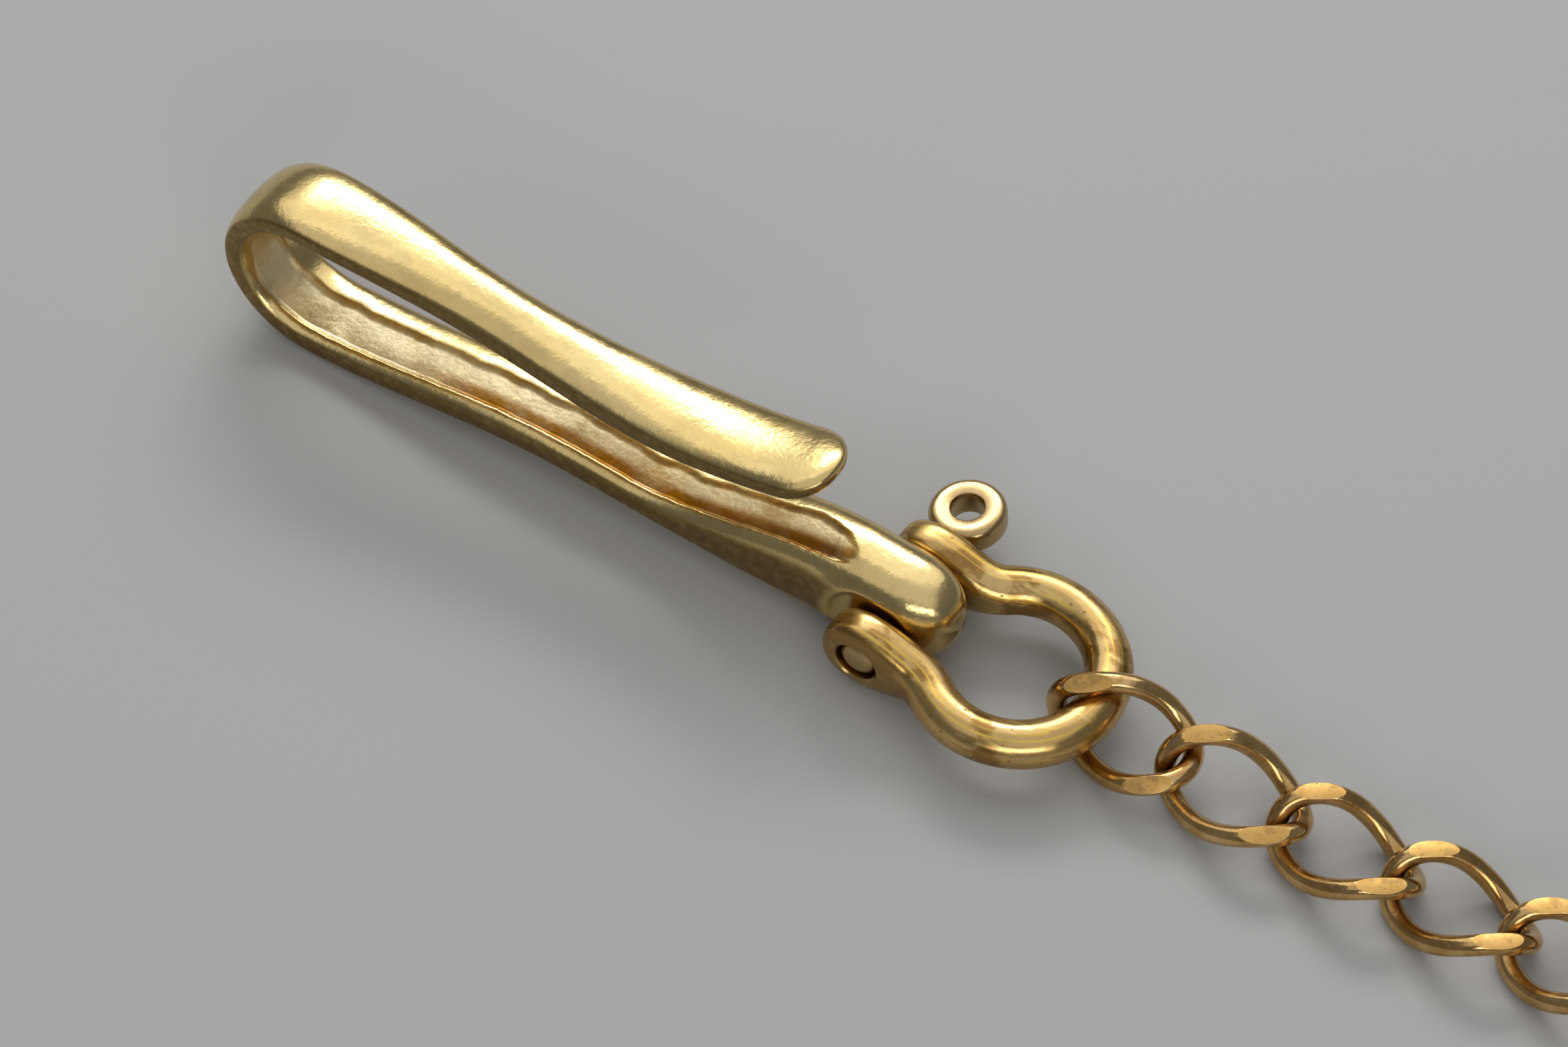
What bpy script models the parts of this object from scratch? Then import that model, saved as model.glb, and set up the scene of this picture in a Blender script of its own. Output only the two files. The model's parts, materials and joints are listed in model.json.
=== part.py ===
# Brass wallet chain: a cast fish hook for the belt, a bow shackle with a screw pin,
# a curb chain of twisted and filed links, and a second shackle for the wallet.
# Metres, +Z up. The chain lies on the plane z = 0 and the hook's long side runs along X.

import math

import bmesh
import bpy
from mathutils import Vector

MM = 0.001

# Clearances
RUNNING_GAP = 0.3 * MM       # between a moving piece and what it turns or slides in
SEAT_GAP = 0.75 * MM         # round an ear, in its seat on the lug

# Pin of a shackle: a plain shank with a domed tip and a flat eye to turn it by
PIN_DIAMETER = 4.2 * MM
PIN_TIP_DOME = 0.9 * MM      # height of the dome on the tip
PIN_TIP_INSET = 0.1 * MM     # the tip ends this far inside the ear's outer face
EYE_DIAMETER = 8.4 * MM
EYE_BORE = 3.6 * MM
EYE_THICKNESS = 3.2 * MM
EYE_ROUND = 0.9 * MM         # rounding of the eye's outer edges
EYE_LEAN = -9.0              # degrees that the eye leans back when the pin is tight
EYE_ROOT = 1.05 * MM         # how deep the shank runs into the rim of the eye

# Shackle: round wire bent to a bow, its ends forged to flat round ears
WIRE_DIAMETER = 5.1 * MM
BOW_RADIUS = 9.6 * MM        # to the middle of the wire
BOW_CENTRE = 14.0 * MM       # from the pin's axis
NECK_RADIUS = 6.0 * MM       # reverse bend between an ear and the bow
EAR_RADIUS = 4.5 * MM
EAR_THICKNESS = 4.5 * MM
EAR_TAPER = 9.0 * MM         # length over which an ear draws down to the round wire
EAR_FLAT = 6.3 * MM          # reach of its flat inner face towards the bow
EAR_SQUARENESS = 3.0         # exponent of its section, 2 is an ellipse
PIN_HEIGHT = 4.95 * MM       # pin axis above the table

# Fish hook: lug at the pin, arm, bend, and a tongue that comes back over the arm
LUG_SEAT_WIDTH = 8.6 * MM    # across the two flat seats that the ears turn on
LUG_WIDTH = 9.5 * MM
LUG_TOP = 12.1 * MM          # crown of the lug above the table
LUG_FOOT = 0.9 * MM          # underside of the lug above the table
LUG_NOSE = 7.2 * MM          # from the pin's axis to the rounded end
LUG_RISE = 32.0 * MM         # how far behind the pin's axis the arm starts to grow into the lug
CROWN_REACH = 4.0 * MM       # how far behind the axis it has its full height
ARM_LENGTH = 73.2 * MM       # from the pin's axis to the centre of the bend
ARM_THICKNESS = 3.8 * MM
ARM_WIDTH = 9.0 * MM
ARM_ARCH = 2.8 * MM          # height of the arm's underside above the table at its highest
ARCH_PLACE = 0.45            # where that is, as a share of the way from bend to pin
LUG_SQUARENESS = 2.6         # exponents of the sections, 2 is an ellipse
ARM_SQUARENESS = 3.0
TONGUE_SQUARENESS = 2.8
BEND_RADIUS = 10.75 * MM     # outside of the bend
BEND_THICKNESS = 3.3 * MM
BEND_WIDTH = 9.9 * MM
TONGUE_LENGTH = 64.8 * MM    # from the centre of the bend to the tip
TONGUE_THICKNESS = 4.1 * MM
TIP_THICKNESS = 3.2 * MM
TONGUE_DIP = 3.1 * MM        # how far the tongue drops towards the arm
DIP_PLACE = 0.6              # where it is lowest, as a share of its length
TONGUE_FLARE = 5.0 * MM      # how far its tip lifts again
TONGUE_WAIST = 7.3 * MM      # narrowest width
WAIST_PLACE = 0.36
TONGUE_SPOON = 9.5 * MM      # width of the spoon-shaped tip
SPOON_PLACE = 0.78
HOLLOW_DEPTH = 0.9 * MM      # the channel along the inner face of the arm and the bend
HOLLOW_WIDTH = 6.6 * MM
HOLLOW_START = 3.6 * MM      # where it sets in, behind the pin's axis
HOLLOW_RUN_IN = 9.0 * MM     # and the length over which it reaches its depth

# Curb chain: oval links of round wire, each twisted and filed flat above and below
LINK_COUNT = 28
LINK_WIRE = 2.2 * MM
LINK_LENGTH = 17.5 * MM      # over the wire
LINK_PLAY = 0.3 * MM         # between the wires of two neighbours, as the chain lies
LINK_PITCH = LINK_LENGTH - 2.0 * LINK_WIRE - LINK_PLAY
LINK_WIDTH = 12.0 * MM       # over the wire, before the twist
LINK_TWIST = 90.0            # degrees from one end to the other
TWIST_EASE = 0.25            # how far the twist gathers in the middle, 0 is even all along
LINK_OVAL = 2.4              # exponent of the oval, 2 is an ellipse
LINK_THICKNESS = 5.5 * MM    # over the filed flats

# Lay of the chain on the table
BOW_SLIP = 5.0               # degrees round the bow that the first link has slipped
FIRST_HEADING = 2.8          # degrees that the chain bears away from the hook's line
STRAIGHT_LINKS = 6           # links that run on from the hook before the turn
TURN_LINKS = 15              # links in the half turn
TURN_STEP = -12.0            # degrees from one link to the next in the turn
END_ROLL = 42.0              # degrees the link on a bow is rolled to wrap the thick wire
NEXT_ROLL = 17.0             # degrees its neighbour is rolled
THIRD_ROLL = 3.0
BOW_PLAY = 0.4 * MM          # between the bow's wire and its link's
BOW_TO_LINK = 0.5 * (LINK_LENGTH - 2.0 * LINK_WIRE - WIRE_DIAMETER) - BOW_PLAY

# Finishes: base colour, roughness
CAST_BRASS = ((0.80, 0.66, 0.30), 0.22)
WIRE_BRASS = ((0.78, 0.56, 0.26), 0.24)
TURNED_BRASS = ((0.82, 0.68, 0.40), 0.38)
CHAIN_BRASS = ((0.70, 0.46, 0.20), 0.34)

# Fineness of the meshes
HOOK_SIDES = 20
SHACKLE_SIDES = 12
TURN_STEPS = 22
LINK_STEPS = 16
ARM_STEPS = 14
BEND_STEPS = 10
TONGUE_STEPS = 12
END_STEPS = 7


def clear_scene():
    for item in list(bpy.data.objects):
        bpy.data.objects.remove(item, do_unlink=True)


def new_collection(name):
    group = bpy.data.collections.new(name)
    bpy.context.scene.collection.children.link(group)
    return group


def new_material(name, finish):
    colour, roughness = finish
    material = bpy.data.materials.new(name)
    material.use_nodes = True
    shader = material.node_tree.nodes["Principled BSDF"]
    shader.inputs["Base Color"].default_value = (*colour, 1.0)
    shader.inputs["Metallic"].default_value = 1.0
    shader.inputs["Roughness"].default_value = roughness
    return material


def smooth_step(value):
    value = min(max(value, 0.0), 1.0)
    return value * value * (3.0 - 2.0 * value)


def blend(first, second, share):
    return first + (second - first) * smooth_step(share)


def round_off(share, exponent=2.0):
    # 1 at the root of a rounded end and 0 at its very tip
    share = min(max(share, 0.0), 1.0)
    return (1.0 - share ** exponent) ** (1.0 / exponent)


def end_stations():
    # Shares of the way out to the tip of a rounded end, closer together at the tip
    return [math.sin(0.5 * math.pi * index / (END_STEPS + 0.3)) for index in range(1, END_STEPS + 1)]


def super_ellipse(half_width, half_height, exponent, sides):
    points = []
    for index in range(sides):
        angle = 2.0 * math.pi * (index + 0.5) / sides
        c = math.cos(angle)
        s = math.sin(angle)
        across = half_width * math.copysign(abs(c) ** (2.0 / exponent), c)
        up = half_height * math.copysign(abs(s) ** (2.0 / exponent), s)
        points.append((across, up))
    return points


def shade(mesh):
    mesh.shade_smooth()
    mesh.set_sharp_from_angle(angle=math.radians(35.0))


def loft(name, rings):
    # Skins a row of rings and closes both ends with a fan
    mesh = bpy.data.meshes.new(name)
    bm = bmesh.new()
    rows = [[bm.verts.new(point) for point in ring] for ring in rings]
    sides = len(rows[0])
    for first, second in zip(rows, rows[1:]):
        for index in range(sides):
            after = (index + 1) % sides
            bm.faces.new((first[index], first[after], second[after], second[index]))
    for row in (rows[0], rows[-1]):
        edges = [e for e in bm.edges if e.is_boundary and e.verts[0] in row and e.verts[1] in row]
        cap = bmesh.ops.edgeloop_fill(bm, edges=edges)
        bmesh.ops.poke(bm, faces=cap["faces"])
    bmesh.ops.recalc_face_normals(bm, faces=bm.faces)
    bm.to_mesh(mesh)
    bm.free()
    shade(mesh)
    return mesh


def place(name, mesh, material, group, parent, location=(0, 0, 0), rotation=(0, 0, 0)):
    item = bpy.data.objects.new(name, mesh)
    if not mesh.materials:
        mesh.materials.append(material)
    group.objects.link(item)
    item.parent = parent
    item.location = location
    item.rotation_euler = rotation
    return item


def new_empty(name, parent, location=(0, 0, 0), rotation=(0, 0, 0)):
    empty = bpy.data.objects.new(name, None)
    empty.empty_display_size = EAR_RADIUS
    bpy.context.scene.collection.objects.link(empty)
    empty.parent = parent
    empty.location = location
    empty.rotation_euler = rotation
    return empty


def hide_cutter(item, cutters):
    for group in list(item.users_collection):
        group.objects.unlink(item)
    cutters.objects.link(item)
    item.hide_render = True
    item.display_type = "WIRE"


def cylinder_cutter(name, radius, depth, location, cutters, parent):
    # A cylinder whose axis is the Y of its parent
    bpy.ops.mesh.primitive_cylinder_add(vertices=TURN_STEPS, radius=radius, depth=depth)
    item = bpy.context.object
    item.name = name
    item.parent = parent
    item.location = location
    item.rotation_euler = (math.radians(90.0), 0, 0)
    hide_cutter(item, cutters)
    return item


def box_cutter(name, size, location, cutters, parent):
    bpy.ops.mesh.primitive_cube_add(size=1.0)
    item = bpy.context.object
    item.name = name
    item.parent = parent
    item.location = location
    item.scale = size
    hide_cutter(item, cutters)
    return item


def combine(target, tool, operation):
    modifier = target.modifiers.new(tool.name, "BOOLEAN")
    modifier.operation = operation
    modifier.solver = "EXACT"
    modifier.object = tool


# Fish hook

def arm_underside(x):
    # Rises from the bend to the arch, then comes down to the foot of the lug
    along = (x + ARM_LENGTH) / ARM_LENGTH
    if along < ARCH_PLACE:
        return blend(0.0, ARM_ARCH, along / ARCH_PLACE)
    return blend(ARM_ARCH, LUG_FOOT, (along - ARCH_PLACE) / (1.0 - ARCH_PLACE))


def arm_top(x):
    # The strap thickens away from the bend, and again into the lug
    thickness = blend(BEND_THICKNESS, ARM_THICKNESS, (x + ARM_LENGTH) / (2.0 * BEND_RADIUS))
    rise = smooth_step((x + LUG_RISE) / (LUG_RISE - CROWN_REACH))
    return arm_underside(x) + thickness + (LUG_TOP - LUG_FOOT - ARM_THICKNESS) * rise


def hollow(across, depth):
    share = abs(across) / (0.5 * HOLLOW_WIDTH)
    return depth * (1.0 - smooth_step(share))


def hook_ring(centre, inward, width, thickness, exponent, depth):
    # One section square to the strap: across is Y, inward points into the belt gap
    ring = []
    for across, up in super_ellipse(0.5 * width, 0.5 * thickness, exponent, HOOK_SIDES):
        if up > 0.25 * thickness:
            up -= hollow(across, depth)
        ring.append((centre[0] + inward[0] * up, across, centre[1] + inward[1] * up))
    return ring


def nose_rings():
    # From the rounded end of the lug back to the pin's axis
    rings = []
    middle = 0.5 * (LUG_FOOT + LUG_TOP)
    for share in reversed(end_stations()):
        size = round_off(share, 2.5)
        width = blend(LUG_WIDTH, LUG_SEAT_WIDTH, share) * size
        height = (LUG_TOP - LUG_FOOT) * size
        rings.append(hook_ring((LUG_NOSE * share, middle), (0, 1), width, height, LUG_SQUARENESS, 0.0))
    return rings


def arm_rings():
    rings = []
    for index in range(ARM_STEPS):
        x = -ARM_LENGTH * index / ARM_STEPS
        bottom = arm_underside(x)
        top = arm_top(x)
        from_lug = -x / LUG_RISE
        width = blend(LUG_WIDTH, ARM_WIDTH, from_lug)
        width = blend(width, BEND_WIDTH, 1.0 - (x + ARM_LENGTH) / LUG_RISE)
        exponent = blend(LUG_SQUARENESS, ARM_SQUARENESS, from_lug)
        depth = HOLLOW_DEPTH * smooth_step((-x - HOLLOW_START) / HOLLOW_RUN_IN)
        centre = (x, 0.5 * (bottom + top))
        rings.append(hook_ring(centre, (0, 1), width, top - bottom, exponent, depth))
    return rings


def bend_rings():
    rings = []
    middle = BEND_RADIUS - 0.5 * BEND_THICKNESS
    for index in range(BEND_STEPS + 1):
        angle = math.pi * index / BEND_STEPS
        inward = (math.sin(angle), math.cos(angle))
        centre = (-ARM_LENGTH - middle * inward[0], BEND_RADIUS - middle * inward[1])
        depth = HOLLOW_DEPTH * (1.0 - smooth_step(index / BEND_STEPS))
        rings.append(hook_ring(centre, inward, BEND_WIDTH, BEND_THICKNESS, ARM_SQUARENESS, depth))
    return rings


def tongue_rings():
    rings = []
    start = 2.0 * BEND_RADIUS - 0.5 * BEND_THICKNESS
    tip = 1.0 - 0.5 * TONGUE_SPOON / TONGUE_LENGTH
    straight = [index / TONGUE_STEPS * tip for index in range(1, TONGUE_STEPS + 1)]
    rounded = [tip + (1.0 - tip) * share for share in end_stations()]
    for along in straight + rounded:
        height = blend(start, start - TONGUE_DIP, along / DIP_PLACE)
        height += TONGUE_FLARE * max((along - DIP_PLACE) / (1.0 - DIP_PLACE), 0.0) ** 2
        waist = blend(BEND_WIDTH, TONGUE_WAIST, along / WAIST_PLACE)
        width = blend(waist, TONGUE_SPOON, (along - WAIST_PLACE) / (SPOON_PLACE - WAIST_PLACE))
        thickness = blend(BEND_THICKNESS, TONGUE_THICKNESS, along / WAIST_PLACE)
        thickness = blend(thickness, TIP_THICKNESS, (along - DIP_PLACE) / (tip - DIP_PLACE))
        past_tip = (along - tip) / (1.0 - tip)
        centre = (-ARM_LENGTH + TONGUE_LENGTH * along, height)
        width *= round_off(past_tip, 2.2)
        thickness *= round_off(past_tip, 3.2)
        rings.append(hook_ring(centre, (0, -1), width, thickness, TONGUE_SQUARENESS, 0.0))
    return rings


def build_hook(material, group, cutters, parent):
    mesh = loft("fish_hook", nose_rings() + arm_rings() + bend_rings() + tongue_rings())
    hook = place("fish_hook", mesh, material, group, parent)
    bore = PIN_DIAMETER + 2.0 * RUNNING_GAP
    pin = (0, 0, PIN_HEIGHT)
    combine(hook, cylinder_cutter("lug_bore", 0.5 * bore, 2.0 * LUG_WIDTH, pin, cutters, parent), "DIFFERENCE")
    seat_radius = EAR_RADIUS + SEAT_GAP
    for side in (-1, 1):
        spot = (0, side * (0.5 * LUG_SEAT_WIDTH + 0.5 * LUG_WIDTH), PIN_HEIGHT)
        seat = cylinder_cutter(f"lug_seat_{side}", seat_radius, LUG_WIDTH, spot, cutters, parent)
        combine(hook, seat, "DIFFERENCE")
    return hook


# Shackle, drawn in its own frame: pin axis on Y, bow towards +X, wire in the plane z = 0

def ear_inside():
    return 0.5 * LUG_SEAT_WIDTH + RUNNING_GAP


def ear_middle():
    return ear_inside() + 0.5 * EAR_THICKNESS


def ear_outside():
    return ear_inside() + EAR_THICKNESS


def shackle_path():
    # One side of the wire, from the end of an ear to the middle of the bow:
    # points with the direction of the wire and the distance run from the pin's axis
    offset = ear_middle()
    between = BOW_RADIUS + NECK_RADIUS
    neck_start = BOW_CENTRE - math.sqrt(between ** 2 - (offset + NECK_RADIUS) ** 2)
    swing = math.acos((offset + NECK_RADIUS) / between)
    path = [(-EAR_RADIUS * share, offset, 0.0) for share in reversed(end_stations())]
    for index in range(4):
        path.append((neck_start * index / 3, offset, 0.0))
    for index in range(1, 5):
        angle = swing * index / 4
        x = neck_start + NECK_RADIUS * math.sin(angle)
        y = offset + NECK_RADIUS * (1.0 - math.cos(angle))
        path.append((x, y, angle))
    for index in range(1, 11):
        angle = swing - (swing + 0.5 * math.pi) * index / 10
        x = BOW_CENTRE - BOW_RADIUS * math.sin(angle)
        y = BOW_RADIUS * math.cos(angle)
        path.append((x, y, angle))
    return path


def shackle_section(x, on_ear):
    wire = 0.5 * WIRE_DIAMETER
    if x < 0:
        share = -x / EAR_RADIUS
        return wire * round_off(share, 4.0), EAR_RADIUS * round_off(share, 2.0), EAR_SQUARENESS
    share = x / EAR_TAPER if on_ear else 1.0
    return wire, blend(EAR_RADIUS, wire, share), blend(EAR_SQUARENESS, 2.0, share)


def shackle_mesh(name):
    far_side = []
    for x, y, angle in shackle_path():
        half_thickness, half_height, exponent = shackle_section(x, x < EAR_TAPER)
        ring = []
        for across, up in super_ellipse(half_thickness, half_height, exponent, SHACKLE_SIDES):
            # across points out of the bow, square to the wire's direction
            ring.append((x - across * math.sin(angle), y + across * math.cos(angle), up))
        far_side.append(ring)
    near_side = [[(x, -y, z) for x, y, z in ring] for ring in far_side[:-1]]
    return loft(name, near_side + far_side[::-1])


def build_shackle(name, material, group, cutters, parent):
    shackle = place(name, shackle_mesh(name), material, group, parent)
    bore = PIN_DIAMETER + 2.0 * RUNNING_GAP
    depth = 4.0 * ear_outside()
    combine(shackle, cylinder_cutter(name + "_bore", 0.5 * bore, depth, (0, 0, 0), cutters, parent), "DIFFERENCE")
    length = EAR_FLAT + 2.0 * EAR_RADIUS
    size = (length, 2.0 * ear_inside(), 4.0 * EAR_RADIUS)
    slot = box_cutter(name + "_slot", size, (EAR_FLAT - 0.5 * length, 0, 0), cutters, parent)
    combine(shackle, slot, "DIFFERENCE")
    return shackle


def screw(item, steps):
    modifier = item.modifiers.new("turn", "SCREW")
    modifier.axis = "Z"
    modifier.angle = 2.0 * math.pi
    modifier.steps = steps
    modifier.render_steps = steps
    modifier.use_merge_vertices = True
    modifier.merge_threshold = 0.00001
    modifier.use_normal_calculate = True


def profile_mesh(name, points, closed):
    mesh = bpy.data.meshes.new(name)
    bm = bmesh.new()
    verts = [bm.verts.new((radius, 0, height)) for radius, height in points]
    for first, second in zip(verts, verts[1:]):
        bm.edges.new((first, second))
    if closed:
        bm.edges.new((verts[-1], verts[0]))
    bm.to_mesh(mesh)
    bm.free()
    return mesh


def eye_centre():
    return ear_outside() + RUNNING_GAP + 0.5 * EYE_DIAMETER


def build_pin(name, material, group, cutters, parent):
    # The shank is turned about Z and laid along Y, with the domed tip at -Y
    tip = ear_outside() - PIN_TIP_INSET
    radius = 0.5 * PIN_DIAMETER
    into_eye = eye_centre() - 0.5 * EYE_DIAMETER + EYE_ROOT
    points = [(0, into_eye), (radius, into_eye)]
    points.append((radius, -tip + PIN_TIP_DOME))
    for index in (1, 2, 3):
        angle = 0.5 * math.pi * index / 3
        points.append((radius * math.cos(angle), -tip + PIN_TIP_DOME * (1.0 - math.sin(angle))))
    pin = place(name, profile_mesh(name, points, False), material, group, parent)
    pin.rotation_euler = (math.radians(-90.0), 0, 0)
    screw(pin, TURN_STEPS)

    inner = 0.5 * EYE_BORE
    outer = 0.5 * EYE_DIAMETER
    top = 0.5 * EYE_THICKNESS
    ring = [(inner, top), (outer - EYE_ROUND, top)]
    for side, angles in ((1, (30, 60, 90)), (-1, (90, 60, 30))):
        for degrees in angles:
            angle = math.radians(degrees)
            out = outer - EYE_ROUND + EYE_ROUND * math.sin(angle)
            ring.append((out, side * (top - EYE_ROUND + EYE_ROUND * math.cos(angle))))
    ring += [(outer - EYE_ROUND, -top), (inner, -top)]
    eye = bpy.data.objects.new(name + "_eye", profile_mesh(name + "_eye", ring, True))
    cutters.objects.link(eye)
    hide_cutter(eye, cutters)
    eye.parent = parent
    eye.location = (0, eye_centre(), 0)
    eye.rotation_euler = (0, math.radians(EYE_LEAN), 0)
    screw(eye, TURN_STEPS)
    combine(pin, eye, "UNION")
    return pin


# Curb chain

def link_point(angle):
    half_length = 0.5 * (LINK_LENGTH - LINK_WIRE)
    half_width = 0.5 * (LINK_WIDTH - LINK_WIRE)
    c = math.cos(angle)
    s = math.sin(angle)
    x = half_length * math.copysign(abs(c) ** (2.0 / LINK_OVAL), c)
    y = half_width * math.copysign(abs(s) ** (2.0 / LINK_OVAL), s)
    along = x / half_length
    turn = -0.5 * math.radians(LINK_TWIST) * (along + TWIST_EASE * along * (1.0 - along * along))
    return Vector((x, y * math.cos(turn), y * math.sin(turn)))


def link_mesh():
    curve = bpy.data.curves.new("link_wire", "CURVE")
    curve.dimensions = "3D"
    curve.bevel_depth = 0.5 * LINK_WIRE
    curve.bevel_resolution = 2
    spline = curve.splines.new("POLY")
    spline.points.add(LINK_STEPS - 1)
    for index, spot in enumerate(spline.points):
        spot.co = (*link_point(2.0 * math.pi * index / LINK_STEPS), 1.0)
    spline.use_cyclic_u = True
    wire = bpy.data.objects.new("link_wire", curve)
    bpy.context.scene.collection.objects.link(wire)
    graph = bpy.context.evaluated_depsgraph_get()
    mesh = bpy.data.meshes.new_from_object(wire.evaluated_get(graph))
    bpy.data.objects.remove(wire, do_unlink=True)
    bm = bmesh.new()
    bm.from_mesh(mesh)
    bmesh.ops.remove_doubles(bm, verts=bm.verts, dist=0.00001)
    for side in (-1, 1):
        level = (0, 0, side * 0.5 * LINK_THICKNESS)
        everything = bm.verts[:] + bm.edges[:] + bm.faces[:]
        bmesh.ops.bisect_plane(bm, geom=everything, plane_co=level, plane_no=(0, 0, side), clear_outer=True)
        rim = [edge for edge in bm.edges if edge.is_boundary]
        bmesh.ops.edgeloop_fill(bm, edges=rim)
    bmesh.ops.recalc_face_normals(bm, faces=bm.faces)
    bm.to_mesh(mesh)
    bm.free()
    mesh.name = "curb_link"
    shade(mesh)
    return mesh


def link_roll(number):
    # The links next to a bow are rolled to wrap its thick wire, the others lie flat
    near = {1: END_ROLL, 2: NEXT_ROLL, 3: THIRD_ROLL}
    if number in near:
        return near[number]
    return -near.get(LINK_COUNT + 1 - number, 0.0)


def crossing_height(number):
    # Height of the crossing after a link: the bow's wire at either end, else the flat chain
    flat = 0.5 * LINK_THICKNESS
    from_end = min(number, LINK_COUNT - number)
    if from_end == 0:
        return PIN_HEIGHT
    return blend(PIN_HEIGHT, flat, from_end / 3.0)


def chain_lay():
    # Middle, heading and pitch of every link, and the two ends of the chain
    heading = math.radians(FIRST_HEADING)
    slip = math.radians(BOW_SLIP)
    spot = Vector((BOW_CENTRE + BOW_RADIUS * math.cos(slip), -BOW_RADIUS * math.sin(slip), PIN_HEIGHT))
    lay = []
    for number in range(1, LINK_COUNT + 1):
        if STRAIGHT_LINKS < number <= STRAIGHT_LINKS + TURN_LINKS:
            heading += math.radians(TURN_STEP)
        before = BOW_TO_LINK if number == 1 else 0.5 * LINK_PITCH
        after = BOW_TO_LINK if number == LINK_COUNT else 0.5 * LINK_PITCH
        rise = crossing_height(number) - crossing_height(number - 1)
        slope = math.asin(rise / (before + after))
        run = Vector((math.cos(heading) * math.cos(slope), math.sin(heading) * math.cos(slope), math.sin(slope)))
        lay.append((spot + run * before, heading, -slope))
        spot = spot + run * (before + after)
    return lay, spot, heading


def build_chain(material, group, parent):
    mesh = link_mesh()
    lay, end, heading = chain_lay()
    for number, (middle, turn, pitch) in enumerate(lay, start=1):
        rotation = (math.radians(link_roll(number)), pitch, turn)
        place(f"link_{number:02d}", mesh, material, group, parent, middle, rotation)
    return end, heading


def stand_on_floor(root, group):
    # Moves everything so that the whole box is centred on the origin and stands on z = 0
    bpy.context.view_layer.update()
    graph = bpy.context.evaluated_depsgraph_get()
    low = Vector((math.inf, math.inf, math.inf))
    high = -low
    for item in group.objects:
        shape = item.evaluated_get(graph)
        for vertex in shape.data.vertices:
            point = item.matrix_world @ vertex.co
            low = Vector(map(min, low, point))
            high = Vector(map(max, high, point))
    root.location = (-0.5 * (low.x + high.x), -0.5 * (low.y + high.y), -low.z)
    bpy.context.view_layer.update()


def build():
    clear_scene()
    group = new_collection("wallet_chain")
    cutters = new_collection("cutters")
    cast = new_material("cast_brass", CAST_BRASS)
    wire = new_material("wire_brass", WIRE_BRASS)
    turned = new_material("turned_brass", TURNED_BRASS)
    chain = new_material("chain_brass", CHAIN_BRASS)

    root = new_empty("wallet_chain_root", None)
    build_hook(cast, group, cutters, root)
    pin_axis = new_empty("hook_pin_axis", root, (0, 0, PIN_HEIGHT))
    build_shackle("shackle", wire, group, cutters, pin_axis)
    build_pin("shackle_pin", turned, group, cutters, pin_axis)

    end, heading = build_chain(chain, group, root)
    reach = BOW_CENTRE + BOW_RADIUS
    far = end + reach * Vector((math.cos(heading), math.sin(heading), 0))
    wallet_axis = new_empty("wallet_pin_axis", root, far, (0, 0, heading + math.pi))
    build_shackle("wallet_shackle", wire, group, cutters, wallet_axis)
    build_pin("wallet_shackle_pin", turned, group, cutters, wallet_axis)
    stand_on_floor(root, group)


build()
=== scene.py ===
import json
import math

import bmesh
import bpy
from mathutils import Matrix, Vector, noise


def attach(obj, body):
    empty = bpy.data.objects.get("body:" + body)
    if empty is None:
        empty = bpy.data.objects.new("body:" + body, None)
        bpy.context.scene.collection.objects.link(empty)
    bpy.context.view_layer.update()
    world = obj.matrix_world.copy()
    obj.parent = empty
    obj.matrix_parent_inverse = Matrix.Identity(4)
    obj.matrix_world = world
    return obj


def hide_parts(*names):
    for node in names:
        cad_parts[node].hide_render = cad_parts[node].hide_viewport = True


mm = 0.001

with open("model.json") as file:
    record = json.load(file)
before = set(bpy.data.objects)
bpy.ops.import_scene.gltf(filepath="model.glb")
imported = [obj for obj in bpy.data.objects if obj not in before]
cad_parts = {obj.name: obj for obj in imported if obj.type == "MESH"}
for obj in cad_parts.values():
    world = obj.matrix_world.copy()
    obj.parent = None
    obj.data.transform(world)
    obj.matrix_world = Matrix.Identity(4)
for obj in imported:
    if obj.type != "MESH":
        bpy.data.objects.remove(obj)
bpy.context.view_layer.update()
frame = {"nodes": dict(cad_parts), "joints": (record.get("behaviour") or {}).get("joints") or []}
joints = {joint["name"]: joint for joint in frame["joints"]}
print("frame loaded,", len(frame["nodes"]), "nodes")


def addObject(name, data):
    thing = bpy.data.objects.new(name, data)
    bpy.context.scene.collection.objects.link(thing)
    return thing


# Camera first: everything below is seen through it

cameraView = {
    "lens": 100.0,                 # mm
    "sensor": 36.0,                # mm across
    "distance": 453 * mm,          # to the hook's pin
    "elevation": 54.0,
    "azimuth": 30.0,
    "roll": 3.3,                   # degrees, the photograph hangs a little to the right
    "anchor": (0, 1.8 * mm, 0),    # a point by the pin's axis
    "anchorPixel": (1362.5, 886.5),
    "imageSize": (2349, 1568),
}


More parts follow.
